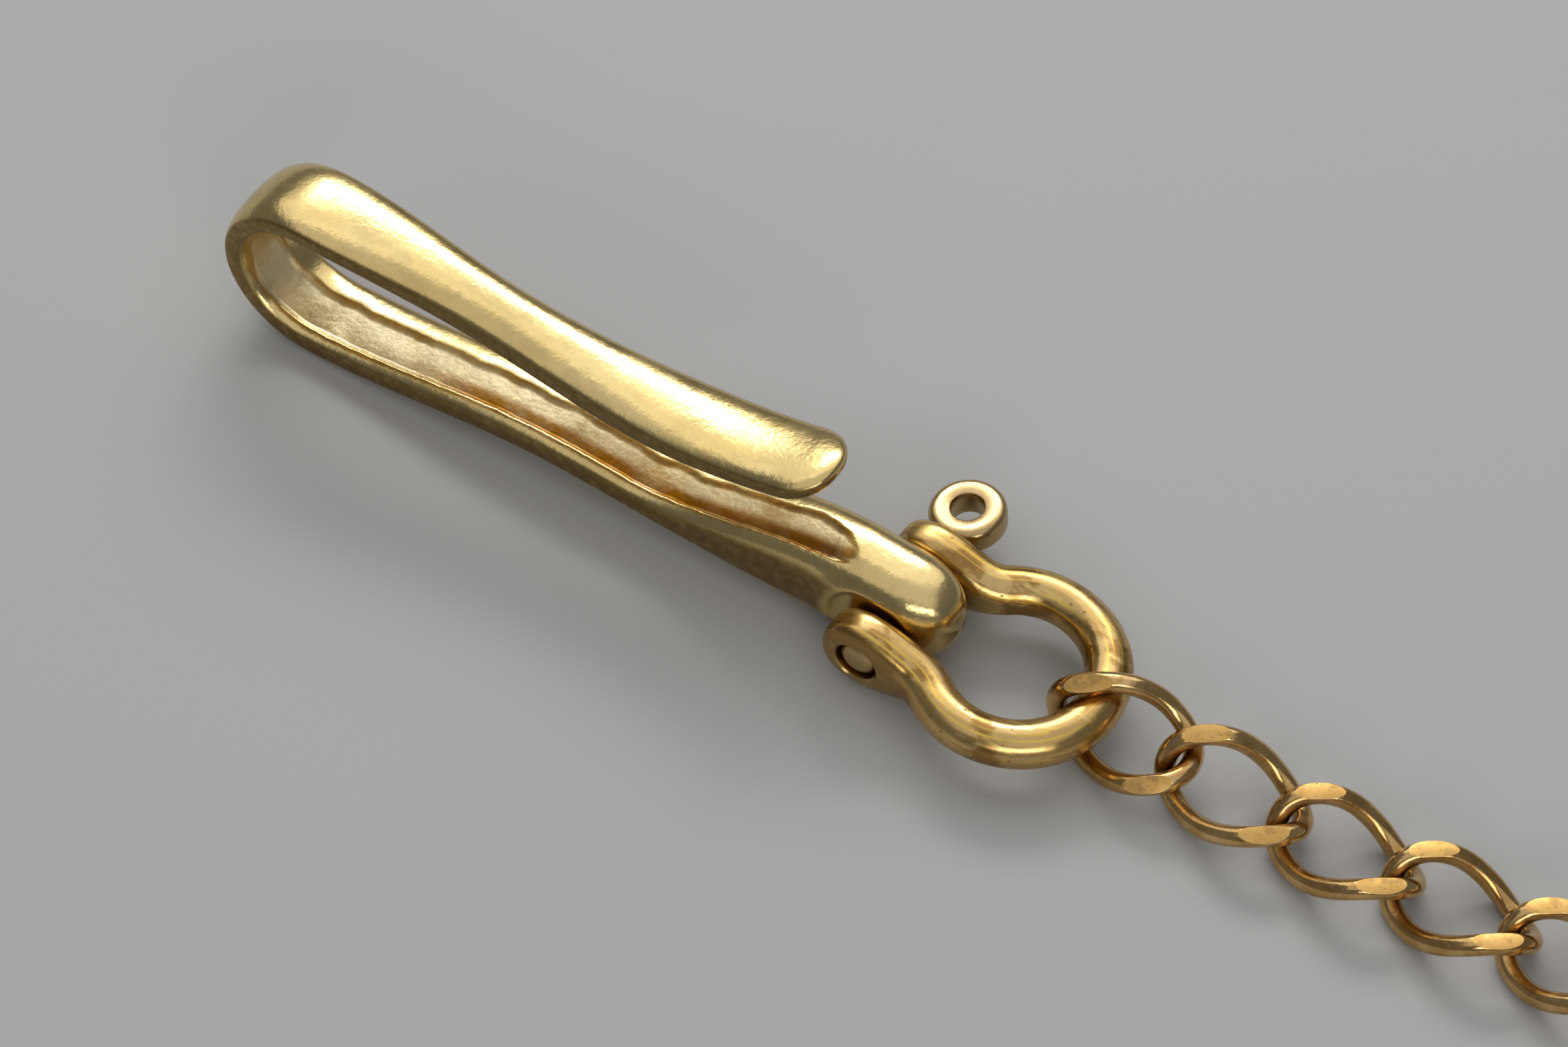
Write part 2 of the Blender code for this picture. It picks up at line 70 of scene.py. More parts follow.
def placeCamera(view, pin):
    elevation = math.radians(view["elevation"])
    azimuth = math.radians(view["azimuth"])
    roll = math.radians(view["roll"])
    back = Vector((math.cos(elevation) * math.sin(azimuth),
                   -math.cos(elevation) * math.cos(azimuth),
                   math.sin(elevation)))
    level = Vector((math.cos(azimuth), math.sin(azimuth), 0))
    upright = back.cross(level)
    right = level * math.cos(roll) + upright * math.sin(roll)
    up = upright * math.cos(roll) - level * math.sin(roll)
    data = bpy.data.cameras.new("photoCamera")
    data.lens = view["lens"]
    data.sensor_width = view["sensor"]
    camera = addObject("photoCamera", data)
    wide, high = view["imageSize"]
    focal = wide * data.lens / data.sensor_width
    across = (view["anchorPixel"][0] - 0.5 * wide) / focal
    above = (0.5 * high - view["anchorPixel"][1]) / focal
    spot = pin + Vector(view["anchor"]) - view["distance"] * (across * right + above * up - back)
    turned = Matrix((right, up, back)).transposed()
    camera.matrix_world = Matrix.Translation(spot) @ turned.to_4x4()
    bpy.context.scene.camera = camera


pinAxis = Vector(joints["shackle_swing"]["pos_m"])
placeCamera(cameraView, pinAxis)


# Small tools that every piece shares

def smoothStep(value):
    value = min(max(value, 0.0), 1.0)
    return value * value * (3.0 - 2.0 * value)


def rising(value, start, run):
    # 0 up to the start, 1 when the run is over, eased in between
    return smoothStep((value - start) / run)


def blend(first, second, share):
    return first + (second - first) * smoothStep(share)


def roundOff(share, squareness):
    share = min(max(share, 0.0), 1.0)
    return (1.0 - share ** squareness) ** (1.0 / squareness)


def outFrom(value, half):
    # how far out a place lies, as a share of the half size there
    return value / max(half, 0.01 * mm)


def tipSteps(count):
    # shares of the way out to a rounded tip, closer together at its end
    return [math.sin(0.5 * math.pi * index / (count + 0.15)) for index in range(1, count + 1)]


def sectionPoint(around, halfWidth, halfHeight, squareness):
    # a point of a rounded section, seen from its middle in the direction around
    c = math.cos(around)
    s = math.sin(around)
    size = (abs(c) ** squareness + abs(s) ** squareness) ** (-1.0 / squareness)
    return halfWidth * c * size, halfHeight * s * size


def sweep(stations, sides, pointAt, closed=False, crowding=0.0, masks=None):
    # extrudes one ring of points from station to station and closes the ends;
    # crowding draws the points together on the upper side, masks paints values on them
    bm = bmesh.new()
    around = bm.verts.layers.float.new("around")
    layers = {name: bm.verts.layers.float.new(name) for name in masks or {}}

    def place(verts, station):
        for vert in verts:
            vert.co = pointAt(station, vert[around])
            for name, layer in layers.items():
                vert[layer] = masks[name](station, vert[around])

    ring = bmesh.ops.create_circle(bm, segments=sides, radius=1.0)["verts"]
    for vert in ring:
        angle = math.atan2(vert.co.y, vert.co.x)
        vert[around] = angle + crowding * math.cos(angle)
    place(ring, stations[0])
    edges = list(bm.edges)
    firstRing = list(ring)
    for station in stations[1:]:
        grown = bmesh.ops.extrude_edge_only(bm, edges=edges)["geom"]
        ring = [item for item in grown if isinstance(item, bmesh.types.BMVert)]
        edges = [item for item in grown if isinstance(item, bmesh.types.BMEdge) and item.is_boundary]
        place(ring, station)
    if closed:
        bmesh.ops.remove_doubles(bm, verts=bm.verts, dist=0.002 * mm)
    else:
        for end in (firstRing, ring):
            middle = sum((vert.co for vert in end), Vector()) / len(end)
            bmesh.ops.pointmerge(bm, verts=end, merge_co=middle)
    bmesh.ops.recalc_face_normals(bm, faces=bm.faces)
    return bm


def spinProfile(points, steps):
    # turns a line of (radius, height) points once round Z
    bm = bmesh.new()
    verts = [bm.verts.new((radius, 0, height)) for radius, height in points]
    for first, second in zip(verts, verts[1:]):
        bm.edges.new((first, second))
    bmesh.ops.spin(bm, geom=bm.verts[:] + bm.edges[:], cent=(0, 0, 0), axis=(0, 0, 1), angle=2 * math.pi,
                   steps=steps, use_merge=True, use_normal_flip=False)
    bmesh.ops.remove_doubles(bm, verts=bm.verts, dist=0.001 * mm)
    bmesh.ops.recalc_face_normals(bm, faces=bm.faces)
    return bm


def arc(centre, radius, start, end, steps):
    # points of a round corner, angles in degrees from the radius direction towards the height
    points = []
    for index in range(steps + 1):
        angle = math.radians(start + (end - start) * index / steps)
        points.append((centre[0] + radius * math.cos(angle), centre[1] + radius * math.sin(angle)))
    return points


def meshFrom(bm, name):
    mesh = bpy.data.meshes.new(name)
    bm.to_mesh(mesh)
    bm.free()
    return mesh


def addShape(bm, other, name):
    # puts the shape of another bmesh into this one
    mesh = meshFrom(other, name)
    bm.from_mesh(mesh)
    bpy.data.meshes.remove(mesh)


def shadeMesh(mesh, sharpAngle):
    mesh.shade_smooth()
    mesh.set_sharp_from_angle(angle=math.radians(sharpAngle))


def paintMask(mesh, name, valueAt):
    layer = mesh.attributes.new(name, "FLOAT", "POINT")
    for item, vert in zip(layer.data, mesh.vertices):
        item.value = valueAt(vert.co)


def cutWith(mesh, cutter, name):
    # takes the cutter out of a mesh and returns what is left as a new mesh
    target = addObject(name, mesh)
    tool = addObject(name + "Cutter", cutter)
    modifier = target.modifiers.new(tool.name, "BOOLEAN")
    modifier.operation = "DIFFERENCE"
    modifier.solver = "EXACT"
    modifier.object = tool
    graph = bpy.context.evaluated_depsgraph_get()
    left = bpy.data.meshes.new_from_object(target.evaluated_get(graph))
    for helper in (target, tool):
        bpy.data.objects.remove(helper, do_unlink=True)
    return left


def newPiece(name, mesh, materials, body, node):
    piece = addObject(name, mesh)
    if mesh.materials:
        # left by a cutter; clearing them also sets every face back to the first material
        mesh.materials.clear()
    for material in materials:
        mesh.materials.append(material)
    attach(piece, body)
    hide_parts(node)


# Finishes

def addNode(tree, kind, **values):
    node = tree.nodes.new(kind)
    for key, value in values.items():
        setattr(node, key, value)
    return node


def patternNoise(tree, coordinates, scale, detail=4.0, roughness=0.55, stretch=(1, 1, 1), turn=(0, 0, 0)):
    mapping = addNode(tree, "ShaderNodeMapping")
    mapping.inputs["Scale"].default_value = stretch
    mapping.inputs["Rotation"].default_value = [math.radians(angle) for angle in turn]
    pattern = addNode(tree, "ShaderNodeTexNoise")
    pattern.inputs["Scale"].default_value = scale
    pattern.inputs["Detail"].default_value = detail
    pattern.inputs["Roughness"].default_value = roughness
    tree.links.new(coordinates, mapping.inputs["Vector"])
    tree.links.new(mapping.outputs["Vector"], pattern.inputs["Vector"])
    return pattern.outputs["Fac"]


def paintedValue(tree, name):
    # a value that is painted on the mesh
    return addNode(tree, "ShaderNodeAttribute", attribute_name=name).outputs["Fac"]


def ranged(tree, value, fromLow, fromHigh, toLow=0.0, toHigh=1.0):
    node = addNode(tree, "ShaderNodeMapRange", interpolation_type="SMOOTHSTEP")
    node.inputs["From Min"].default_value = fromLow
    node.inputs["From Max"].default_value = fromHigh
    node.inputs["To Min"].default_value = toLow
    node.inputs["To Max"].default_value = toHigh
    tree.links.new(value, node.inputs["Value"])
    return node.outputs["Result"]


def calculate(tree, operation, first, second):
    node = addNode(tree, "ShaderNodeMath", operation=operation)
    for socket, value in zip(node.inputs, (first, second)):
        if isinstance(value, (int, float)):
            socket.default_value = value
        else:
            tree.links.new(value, socket)
    return node.outputs["Value"]


def addPart(tree, total, value, share, operation="ADD"):
    # the total with a share of another value added or taken away
    return calculate(tree, operation, total, calculate(tree, "MULTIPLY", value, share))


def layOver(tree, under, over, value, share=1.0):
    # one colour over another where the value is high, at most by the share
    node = addNode(tree, "ShaderNodeMix", data_type="RGBA", blend_type="MIX")
    factor, colourA, colourB = node.inputs[0], node.inputs[6], node.inputs[7]
    if share < 1.0:
        value = calculate(tree, "MULTIPLY", value, share)
    tree.links.new(value, factor)
    for socket, colour in ((colourA, under), (colourB, over)):
        if isinstance(colour, tuple):
            socket.default_value = (*colour, 1.0)
        else:
            tree.links.new(colour, socket)
    return node.outputs[2]


finishLevels = {
    # values of a noise between which its pattern comes in
    "drift": (0.35, 0.68),
    "mottle": (0.5, 0.8),
    "stain": (0.50, 0.60),
    "cloud": (0.3, 0.7),
    "scratch": (0.6, 0.72),
    "patch": (0.25, 0.6),
    "cloudRoughness": (0.8, 1.3),  # times the finish's own roughness
    "speckCore": 0.3,              # share of a speck's radius that is fully dark
    "speckChoice": 0.05,
    "speckRoughness": 0.25,
    "lineScale": 1.6,
}


def speckPattern(tree, coordinates, finish):
    # one dot in some of the cells
    cells = addNode(tree, "ShaderNodeTexVoronoi", feature="F1")
    cells.inputs["Scale"].default_value = finish["speckScale"]
    cells.inputs["Randomness"].default_value = 1.0
    tree.links.new(coordinates, cells.inputs["Vector"])
    size = finish["speckSize"]
    dot = ranged(tree, cells.outputs["Distance"], size, finishLevels["speckCore"] * size)
    chance = addNode(tree, "ShaderNodeSeparateColor")
    tree.links.new(cells.outputs["Color"], chance.inputs["Color"])
    rarity = finish["speckRarity"]
    kept = ranged(tree, chance.outputs["Red"], rarity, rarity + finishLevels["speckChoice"])
    return calculate(tree, "MULTIPLY", dot, kept)


def linePattern(tree, coordinates, line):
    # lines that follow the wire, read from the way round its section that is painted on the mesh
    place = addNode(tree, "ShaderNodeCombineXYZ")
    roundWire = calculate(tree, "MULTIPLY", paintedValue(tree, "drawn"), line["crowding"])
    tree.links.new(roundWire, place.inputs["X"])
    drift = patternNoise(tree, coordinates, line["driftScale"], detail=1.0)
    tree.links.new(drift, place.inputs["Y"])
    place.inputs["Z"].default_value = line["seed"]
    pattern = patternNoise(tree, place.outputs["Vector"], finishLevels["lineScale"], detail=3.0)
    return ranged(tree, pattern, line["from"], line["to"])


def brassFinish(name, finish):
    # polished brass with drifting colour, tarnish specks, fine scratches and a faint grain
    material = bpy.data.materials.new(name)
    material.use_nodes = True
    tree = material.node_tree
    shader = tree.nodes["Principled BSDF"]
    shader.inputs["Metallic"].default_value = 1.0
    coordinates = addNode(tree, "ShaderNodeTexCoord").outputs["Object"]

    drift = patternNoise(tree, coordinates, finish["driftScale"], detail=3.0)
    drift = ranged(tree, drift, *finishLevels["drift"])
    colour = layOver(tree, finish["colour"], finish["driftColour"], drift)
    mottle = patternNoise(tree, coordinates, finish["mottleScale"], detail=6.0, roughness=0.7)
    mottle = ranged(tree, mottle, *finishLevels["mottle"])
    colour = layOver(tree, colour, finish["mottleColour"], mottle, finish["mottle"])
    stain = patternNoise(tree, coordinates, finish["stainScale"], roughness=0.6,
                         stretch=finish["stainStretch"])
    stain = ranged(tree, stain, *finishLevels["stain"])
    colour = layOver(tree, colour, finish["stainColour"], stain, finish["stainShare"])
    specks = speckPattern(tree, coordinates, finish)
    colour = layOver(tree, colour, finish["speckColour"], specks, finish["speckShare"])
    scratch = patternNoise(tree, coordinates, finish["scratchScale"], detail=2.0, roughness=0.6,
                           stretch=finish["scratchStretch"], turn=finish["scratchTurn"])
    scratch = ranged(tree, scratch, *finishLevels["scratch"])
    colour = layOver(tree, colour, finish["scratchColour"], scratch, finish["scratchShare"])

    smoothest, roughest = finishLevels["cloudRoughness"]
    rough = patternNoise(tree, coordinates, finish["cloudScale"], detail=5.0)
    rough = ranged(tree, rough, *finishLevels["cloud"],
                   finish["roughness"] * smoothest, finish["roughness"] * roughest)
    rough = addPart(tree, rough, scratch, finish["scratchRoughness"])
    rough = addPart(tree, rough, specks, finishLevels["speckRoughness"])

    grain = patternNoise(tree, coordinates, finish["grainScale"], roughness=0.6)
    peel = patternNoise(tree, coordinates, finish["peelScale"], detail=2.0)
    height = calculate(tree, "MULTIPLY", grain, finish["grain"])
    height = addPart(tree, height, peel, finish["peel"])
    height = addPart(tree, height, scratch, finish["scratchDepth"], "SUBTRACT")
    height = addPart(tree, height, specks, finish["speckDepth"], "SUBTRACT")

    for line in finish.get("lines", []):
        drawn = linePattern(tree, coordinates, line)
        colour = layOver(tree, colour, line["colour"], drawn, line["share"])

    for mask in finish.get("masks", []):
        # where a mask is painted on the mesh: another colour, roughness and texture; some of these colours
        # are painted shade
        painted = paintedValue(tree, mask["name"])
        patchy = patternNoise(tree, coordinates, mask["patchScale"], detail=5.0)
        patchy = ranged(tree, patchy, *finishLevels["patch"], mask["patchLow"], 1.0)
        maskShareWithShade = calculate(tree, "MULTIPLY", painted, patchy)
        colour = layOver(tree, colour, mask["colour"], maskShareWithShade, mask["share"])
        rough = addPart(tree, rough, maskShareWithShade, mask["roughness"])
        marks = patternNoise(tree, coordinates, mask["marksScale"], detail=3.0,
                             stretch=mask.get("marksStretch", (1, 1, 1)))
        marks = calculate(tree, "MULTIPLY", marks, mask["marks"])
        height = addPart(tree, height, marks, painted)

    tree.links.new(colour, shader.inputs["Base Color"])
    tree.links.new(rough, shader.inputs["Roughness"])
    bump = addNode(tree, "ShaderNodeBump")
    bump.inputs["Strength"].default_value = 1.0
    bump.inputs["Distance"].default_value = 1.0 * mm
    tree.links.new(height, bump.inputs["Height"])
    tree.links.new(bump.outputs["Normal"], shader.inputs["Normal"])
    return material


castFinish = {
    "colour": (0.73, 0.56, 0.25), "driftColour": (0.69, 0.51, 0.20), "driftScale": 90.0,
    "mottle": 0.50, "mottleColour": (0.58, 0.43, 0.19), "mottleScale": 800.0,
    "stainScale": 300.0, "stainStretch": (0.8, 1.0, 1.0), "stainShare": 0.35,
    "stainColour": (0.52, 0.40, 0.18),
    "speckScale": 430.0, "speckSize": 0.07, "speckRarity": 0.90, "speckShare": 0.8,
    "speckColour": (0.21, 0.13, 0.05), "speckDepth": 0.008,
    "roughness": 0.19, "cloudScale": 160.0,
    "scratchScale": 260.0, "scratchStretch": (0.35, 3.0, 3.0), "scratchTurn": (0, 0, 8),
    "scratchRoughness": 0.08, "scratchDepth": 0.004,
    "scratchShare": 0.15, "scratchColour": (0.75, 0.62, 0.33),
    "grainScale": 1700.0, "grain": 0.032, "peelScale": 620.0, "peel": 0.030,
    "masks": [
        # chiselled floor of the channel, with fine marks across it
        {
            "name": "channel", "share": 0.75, "colour": (0.86, 0.76, 0.52), "patchScale": 260.0,
            "patchLow": 0.5, "roughness": 0.20, "marks": 0.075, "marksScale": 1000.0,
            "marksStretch": (1.0, 0.18, 0.4),
        },
        # painted shade and orange reflection under the channel's steep near wall
        {
            "name": "paintedWallShade", "share": 1.0, "colour": (0.34, 0.15, 0.01), "patchScale": 260.0,
            "patchLow": 0.6, "roughness": 0.02, "marks": 0.01, "marksScale": 1400.0,
        },
        # casting skin left on the two sides, its dark colour partly painted shade
        {
            "name": "skinAndShade", "share": 0.95, "colour": (0.21, 0.13, 0.04), "patchScale": 900.0,
            "patchLow": 0.75, "roughness": 0.20, "marks": 0.010, "marksScale": 3400.0,
        },
    ],
}

wireFinish = {
    "colour": (0.62, 0.43, 0.18), "driftColour": (0.58, 0.37, 0.13), "driftScale": 120.0,
    "mottle": 0.30, "mottleColour": (0.52, 0.31, 0.10), "mottleScale": 600.0,
    "stainScale": 230.0, "stainStretch": (0.7, 1.0, 1.0), "stainShare": 0.85,
    "stainColour": (0.29, 0.15, 0.04),
    "speckScale": 760.0, "speckSize": 0.19, "speckRarity": 0.45, "speckShare": 0.9,
    "speckColour": (0.30, 0.12, 0.03), "speckDepth": 0.006,
    "roughness": 0.24, "cloudScale": 220.0,
    "scratchScale": 300.0, "scratchStretch": (0.5, 2.5, 2.5), "scratchTurn": (0, 0, 20),
    "scratchRoughness": 0.07, "scratchDepth": 0.004,
    "scratchShare": 0.55, "scratchColour": (0.76, 0.57, 0.20),
    "grainScale": 2800.0, "grain": 0.007, "peelScale": 380.0, "peel": 0.024,
    "lines": [
        {
            "crowding": 3.0, "driftScale": 80.0, "seed": 0.0, "from": 0.54, "to": 0.62,
            "share": 0.80, "colour": (0.80, 0.54, 0.10),
        },
        {
            "crowding": 2.4, "driftScale": 100.0, "seed": 7.0, "from": 0.60, "to": 0.68,
            "share": 0.85, "colour": (0.26, 0.14, 0.04),
        },
    ],
    "masks": [
        # the ears' outer faces, duller than the round wire and darker with painted shade
        {
            "name": "earFaceShade", "share": 0.85, "colour": (0.36, 0.23, 0.08), "patchScale": 420.0,
            "patchLow": 0.45, "roughness": 0.06, "marks": 0.004, "marksScale": 1500.0,
        },
    ],
}

turnedFinish = {
    "colour": (0.54, 0.38, 0.18), "driftColour": (0.47, 0.32, 0.14), "driftScale": 200.0,
    "mottle": 0.25, "mottleColour": (0.54, 0.39, 0.19), "mottleScale": 900.0,
    "stainScale": 400.0, "stainStretch": (1.0, 1.0, 1.0), "stainShare": 0.2,
    "stainColour": (0.43, 0.30, 0.13),
    "speckScale": 500.0, "speckSize": 0.08, "speckRarity": 0.9, "speckShare": 0.7,
    "speckColour": (0.28, 0.16, 0.07), "speckDepth": 0.004,
    "roughness": 0.25, "cloudScale": 240.0,
    "scratchScale": 420.0, "scratchStretch": (3.0, 0.6, 3.0), "scratchTurn": (0, 0, 0),
    "scratchRoughness": 0.10, "scratchDepth": 0.005,
    "scratchShare": 0.2, "scratchColour": (0.66, 0.51, 0.28),
    "grainScale": 3600.0, "grain": 0.016, "peelScale": 700.0, "peel": 0.010,
}

chainFinish = {
    "colour": (0.73, 0.49, 0.21), "driftColour": (0.52, 0.31, 0.10), "driftScale": 240.0,
    "mottle": 0.50, "mottleColour": (0.39, 0.24, 0.09), "mottleScale": 1300.0,
    "stainScale": 420.0, "stainStretch": (1.0, 1.0, 1.0), "stainShare": 0.45,
    "stainColour": (0.43, 0.26, 0.09),
    "speckScale": 1100.0, "speckSize": 0.14, "speckRarity": 0.8, "speckShare": 0.6,
    "speckColour": (0.23, 0.12, 0.05), "speckDepth": 0.004,
    "roughness": 0.14, "cloudScale": 300.0,
    "scratchScale": 500.0, "scratchStretch": (1.0, 1.0, 1.0), "scratchTurn": (0, 0, 0),
    "scratchRoughness": 0.10, "scratchDepth": 0.003,
    "scratchShare": 0.3, "scratchColour": (0.74, 0.56, 0.30),
    "grainScale": 3000.0, "grain": 0.010, "peelScale": 900.0, "peel": 0.012,
    "masks": [
        # tarnish where the links rub least, with painted shade where they cross
        {
            "name": "recessTarnishAndShade", "share": 0.9, "colour": (0.25, 0.13, 0.04), "patchScale": 700.0,
            "patchLow": 0.55, "roughness": 0.14, "marks": 0.020, "marksScale": 1800.0,
        },
    ],
}

filedFinish = {
    "colour": (0.70, 0.43, 0.14), "driftColour": (0.62, 0.37, 0.11), "driftScale": 320.0,
    "mottle": 0.95, "mottleColour": (0.40, 0.22, 0.07), "mottleScale": 2400.0,
    "stainScale": 700.0, "stainStretch": (1.0, 1.0, 1.0), "stainShare": 0.6,
    "stainColour": (0.40, 0.24, 0.09),
    "speckScale": 1500.0, "speckSize": 0.20, "speckRarity": 0.72, "speckShare": 0.5,
    "speckColour": (0.30, 0.16, 0.07), "speckDepth": 0.002,
    "roughness": 0.42, "cloudScale": 500.0,
    "scratchScale": 900.0, "scratchStretch": (0.4, 3.0, 1.0), "scratchTurn": (0, 0, 25),
    "scratchRoughness": 0.08, "scratchDepth": 0.002,
    "scratchShare": 0.2, "scratchColour": (0.62, 0.43, 0.20),
    "grainScale": 4600.0, "grain": 0.003, "peelScale": 1500.0, "peel": 0.001,
}

castBrass = brassFinish("castBrass", castFinish)
wireBrass = brassFinish("wireBrass", wireFinish)
turnedBrass = brassFinish("turnedBrass", turnedFinish)
chainBrass = brassFinish("chainBrass", chainFinish)
filedBrass = brassFinish("filedBrass", filedFinish)
print("finishes made")


# Fish hook: lug, arm with its hammered channel, bend and tongue

hook = {
    "lugSeat": 4.3 * mm,           # half the width between the two seats
    "lugHalf": 4.75 * mm,
    "lugTop": 12.1 * mm,
    "lugFoot": 0.9 * mm,
    "lugNose": 7.2 * mm,
    "lugRise": 32.0 * mm,
    "noseRound": 2.5,              # 2 is round, more is blunter
    "crownReach": 4.0 * mm,
    "armLength": 73.2 * mm,
    "armThickness": 3.8 * mm,
    "armHalf": 4.5 * mm,
    "armArch": 2.8 * mm,
    "archPlace": 0.45,
    "bendRadius": 10.75 * mm,
    "bendThickness": 3.3 * mm,
    "bendHalf": 4.95 * mm,
    "tongueLength": 64.8 * mm,
    "tongueThickness": 4.1 * mm,
    "tipThickness": 3.2 * mm,
    "tongueDip": 3.1 * mm,
    "dipPlace": 0.6,
    "tongueFlare": 5.0 * mm,
    "waistHalf": 3.65 * mm,
    "waistPlace": 0.36,
    "spoonHalf": 4.75 * mm,
    "spoonPlace": 0.78,
    "tipRound": 2.2,
    "tipEdge": 3.2,
    "lugSquare": 2.6,              # of the section: 2 is an ellipse, more is squarer
    "armSquare": 3.8,
    "squaresBy": 1.4,              # how soon the arm's section gets there
    "tipSquare": 3.0,
    "crown": 0.30,                 # how much the outer face falls away to its sides
    "boreRadius": 2.4 * mm,
    "boreHalf": 9.0 * mm,
    "boreSides": 64,
    "sharpAngle": 50.0,
    "sides": 168,
    "crowding": 0.5,
    "noseSteps": 26,
    "armSteps": 190,
    "bendSteps": 50,
    "tongueSteps": 100,
    "tipSteps": 22,
}


def armUnderside(x):
    along = (x + hook["armLength"]) / hook["armLength"]
    if along < hook["archPlace"]:
        return blend(0.0, hook["armArch"], along / hook["archPlace"])
    return blend(hook["armArch"], hook["lugFoot"], (along - hook["archPlace"]) / (1.0 - hook["archPlace"]))


def armTop(x):
    fromBend = (x + hook["armLength"]) / (2.0 * hook["bendRadius"])
    thickness = blend(hook["bendThickness"], hook["armThickness"], fromBend)
    rise = smoothStep((x + hook["lugRise"]) / (hook["lugRise"] - hook["crownReach"]))
    return armUnderside(x) + thickness + (hook["lugTop"] - hook["lugFoot"] - hook["armThickness"]) * rise


def addStation(stations, centre, inward, half, squareness, crown=0.0, channel=0.0):
    # centre and inward direction (x, z), half width and height, and the run along the hook so far
    run = 0.0
    if stations:
        run = stations[-1]["run"] + (Vector(centre) - Vector(stations[-1]["centre"])).length
    stations.append({"centre": centre, "inward": inward, "halfWidth": half[0], "halfHeight": half[1],
                     "squareness": squareness, "crown": crown, "channel": channel, "run": run})


def addLugAndArm(stations):
    middle = 0.5 * (hook["lugTop"] + hook["lugFoot"])
    halfHeight = 0.5 * (hook["lugTop"] - hook["lugFoot"])
    for share in reversed(tipSteps(hook["noseSteps"])):
        size = roundOff(share, hook["noseRound"])
        halfWidth = blend(hook["lugHalf"], hook["lugSeat"], share)
        addStation(stations, (hook["lugNose"] * share, middle), (0, 1), (halfWidth * size, halfHeight * size),
                   hook["lugSquare"])
    for index in range(hook["armSteps"]):
        x = -hook["armLength"] * index / hook["armSteps"]
        bottom = armUnderside(x)
        top = armTop(x)
        fromLug = -x / hook["lugRise"]
        halfWidth = blend(hook["lugHalf"], hook["armHalf"], fromLug)
        halfWidth = blend(halfWidth, hook["bendHalf"], 1.0 - (x + hook["armLength"]) / hook["lugRise"])
        addStation(stations, (x, 0.5 * (bottom + top)), (0, 1), (halfWidth, 0.5 * (top - bottom)),
                   blend(hook["lugSquare"], hook["armSquare"], hook["squaresBy"] * fromLug), 0.0,
                   rising(-x, channelCut["end"], channelCut["endRun"]))


def addBend(stations):
    halfHeight = 0.5 * hook["bendThickness"]
    curve = hook["bendRadius"] - halfHeight
    sooner, later = channelCut["bendFades"]
    for index in range(hook["bendSteps"] + 1):
        share = index / hook["bendSteps"]
        angle = math.pi * share
        inward = (math.sin(angle), math.cos(angle))
        centre = (-hook["armLength"] - curve * inward[0], hook["bendRadius"] - curve * inward[1])
        addStation(stations, centre, inward, (hook["bendHalf"], halfHeight), hook["armSquare"],
                   hook["crown"] * smoothStep(share), 1.0 - smoothStep(sooner * share - later))


def addTongue(stations):
    start = 2.0 * hook["bendRadius"] - 0.5 * hook["bendThickness"]
    tip = 1.0 - hook["spoonHalf"] / hook["tongueLength"]
    alongs = [tip * index / hook["tongueSteps"] for index in range(1, hook["tongueSteps"] + 1)]
    alongs += [tip + (1.0 - tip) * share for share in tipSteps(hook["tipSteps"])]
    for along in alongs:
        toWaist = along / hook["waistPlace"]
        pastDip = along - hook["dipPlace"]
        height = blend(start, start - hook["tongueDip"], along / hook["dipPlace"])
        height += hook["tongueFlare"] * max(pastDip / (1.0 - hook["dipPlace"]), 0.0) ** 2
        half = blend(hook["bendHalf"], hook["waistHalf"], toWaist)
        toSpoon = (along - hook["waistPlace"]) / (hook["spoonPlace"] - hook["waistPlace"])
        half = blend(half, hook["spoonHalf"], toSpoon)
        thickness = blend(hook["bendThickness"], hook["tongueThickness"], toWaist)
        thickness = blend(thickness, hook["tipThickness"], pastDip / (tip - hook["dipPlace"]))
        past = (along - tip) / (1.0 - tip)
        half *= roundOff(past, hook["tipRound"])
        halfHeight = 0.5 * thickness * roundOff(past, hook["tipEdge"])
        addStation(stations, (-hook["armLength"] + hook["tongueLength"] * along, height), (0, -1),
                   (half, halfHeight), blend(hook["armSquare"], hook["tipSquare"], past), hook["crown"])


def hookStations():
    stations = []
    addLugAndArm(stations)
    addBend(stations)
    addTongue(stations)
    return stations


channelCut = {
    "depth": 1.05 * mm,
    "end": 3.4 * mm,               # its rounded end, behind the pin's axis
    "endRun": 9.0 * mm,
    "endPlace": 0.9 * mm,          # from the near rail to its point
    "endOpening": 1.15,            # how soon it reaches its full width
    "endDepth": 2.2,               # and its full depth
    "nearRail": 1.35 * mm,         # width of the rail on the side of the pin's tip
    "farNarrow": 1.6 * mm,         # where its gentle side ends, from the middle, at the lug
    "farWide": 2.3 * mm,           # and at the bend
    "widens": (20.0, 60.0),        # mm along the hook: from where, and over how much
    "narrowest": 0.05 * mm,
    "wall": 0.17,                  # share of its width that the steep wall takes
    "farWall": 0.22,
    "farStep": 0.36,               # share of the depth at which the gentle side ends, at the lug
    "stepFalls": (0.22, 12.0, 14.0),       # by how much, then mm along the hook as above
    "stepReturns": (0.12, 42.0, 18.0),
    "underWall": (0.32, 0.22),     # shares of the width at which the painted shade band goes out
    "shadeBandStarts": (6.0 * mm, 18.0 * mm),   # from the bend: from where, and over how much
    "bendFades": (1.5, 0.1),       # how fast the channel runs out round the bend, and how late
    "nearWaves": [(0.20, 0.40, 3.0, 0.0), (0.10, 1.5, 3.0, 4.0)],      # as unevenEdge reads them
    "farWaves": [(0.50, 0.30, 9.0, 0.0), (0.22, 1.1, 9.0, 4.0)],
    "floorLevel": 0.95,
    "floorDents": (0.08, 0.30, 2.0),       # height, dents per mm and place in the noise
    "upperFace": 0.15,             # share of the half height above which the face is cut
    "floorEdge": 2.5,              # how soon the floor's colour comes in with the depth
    "shadeBandEdge": 1.6,
}


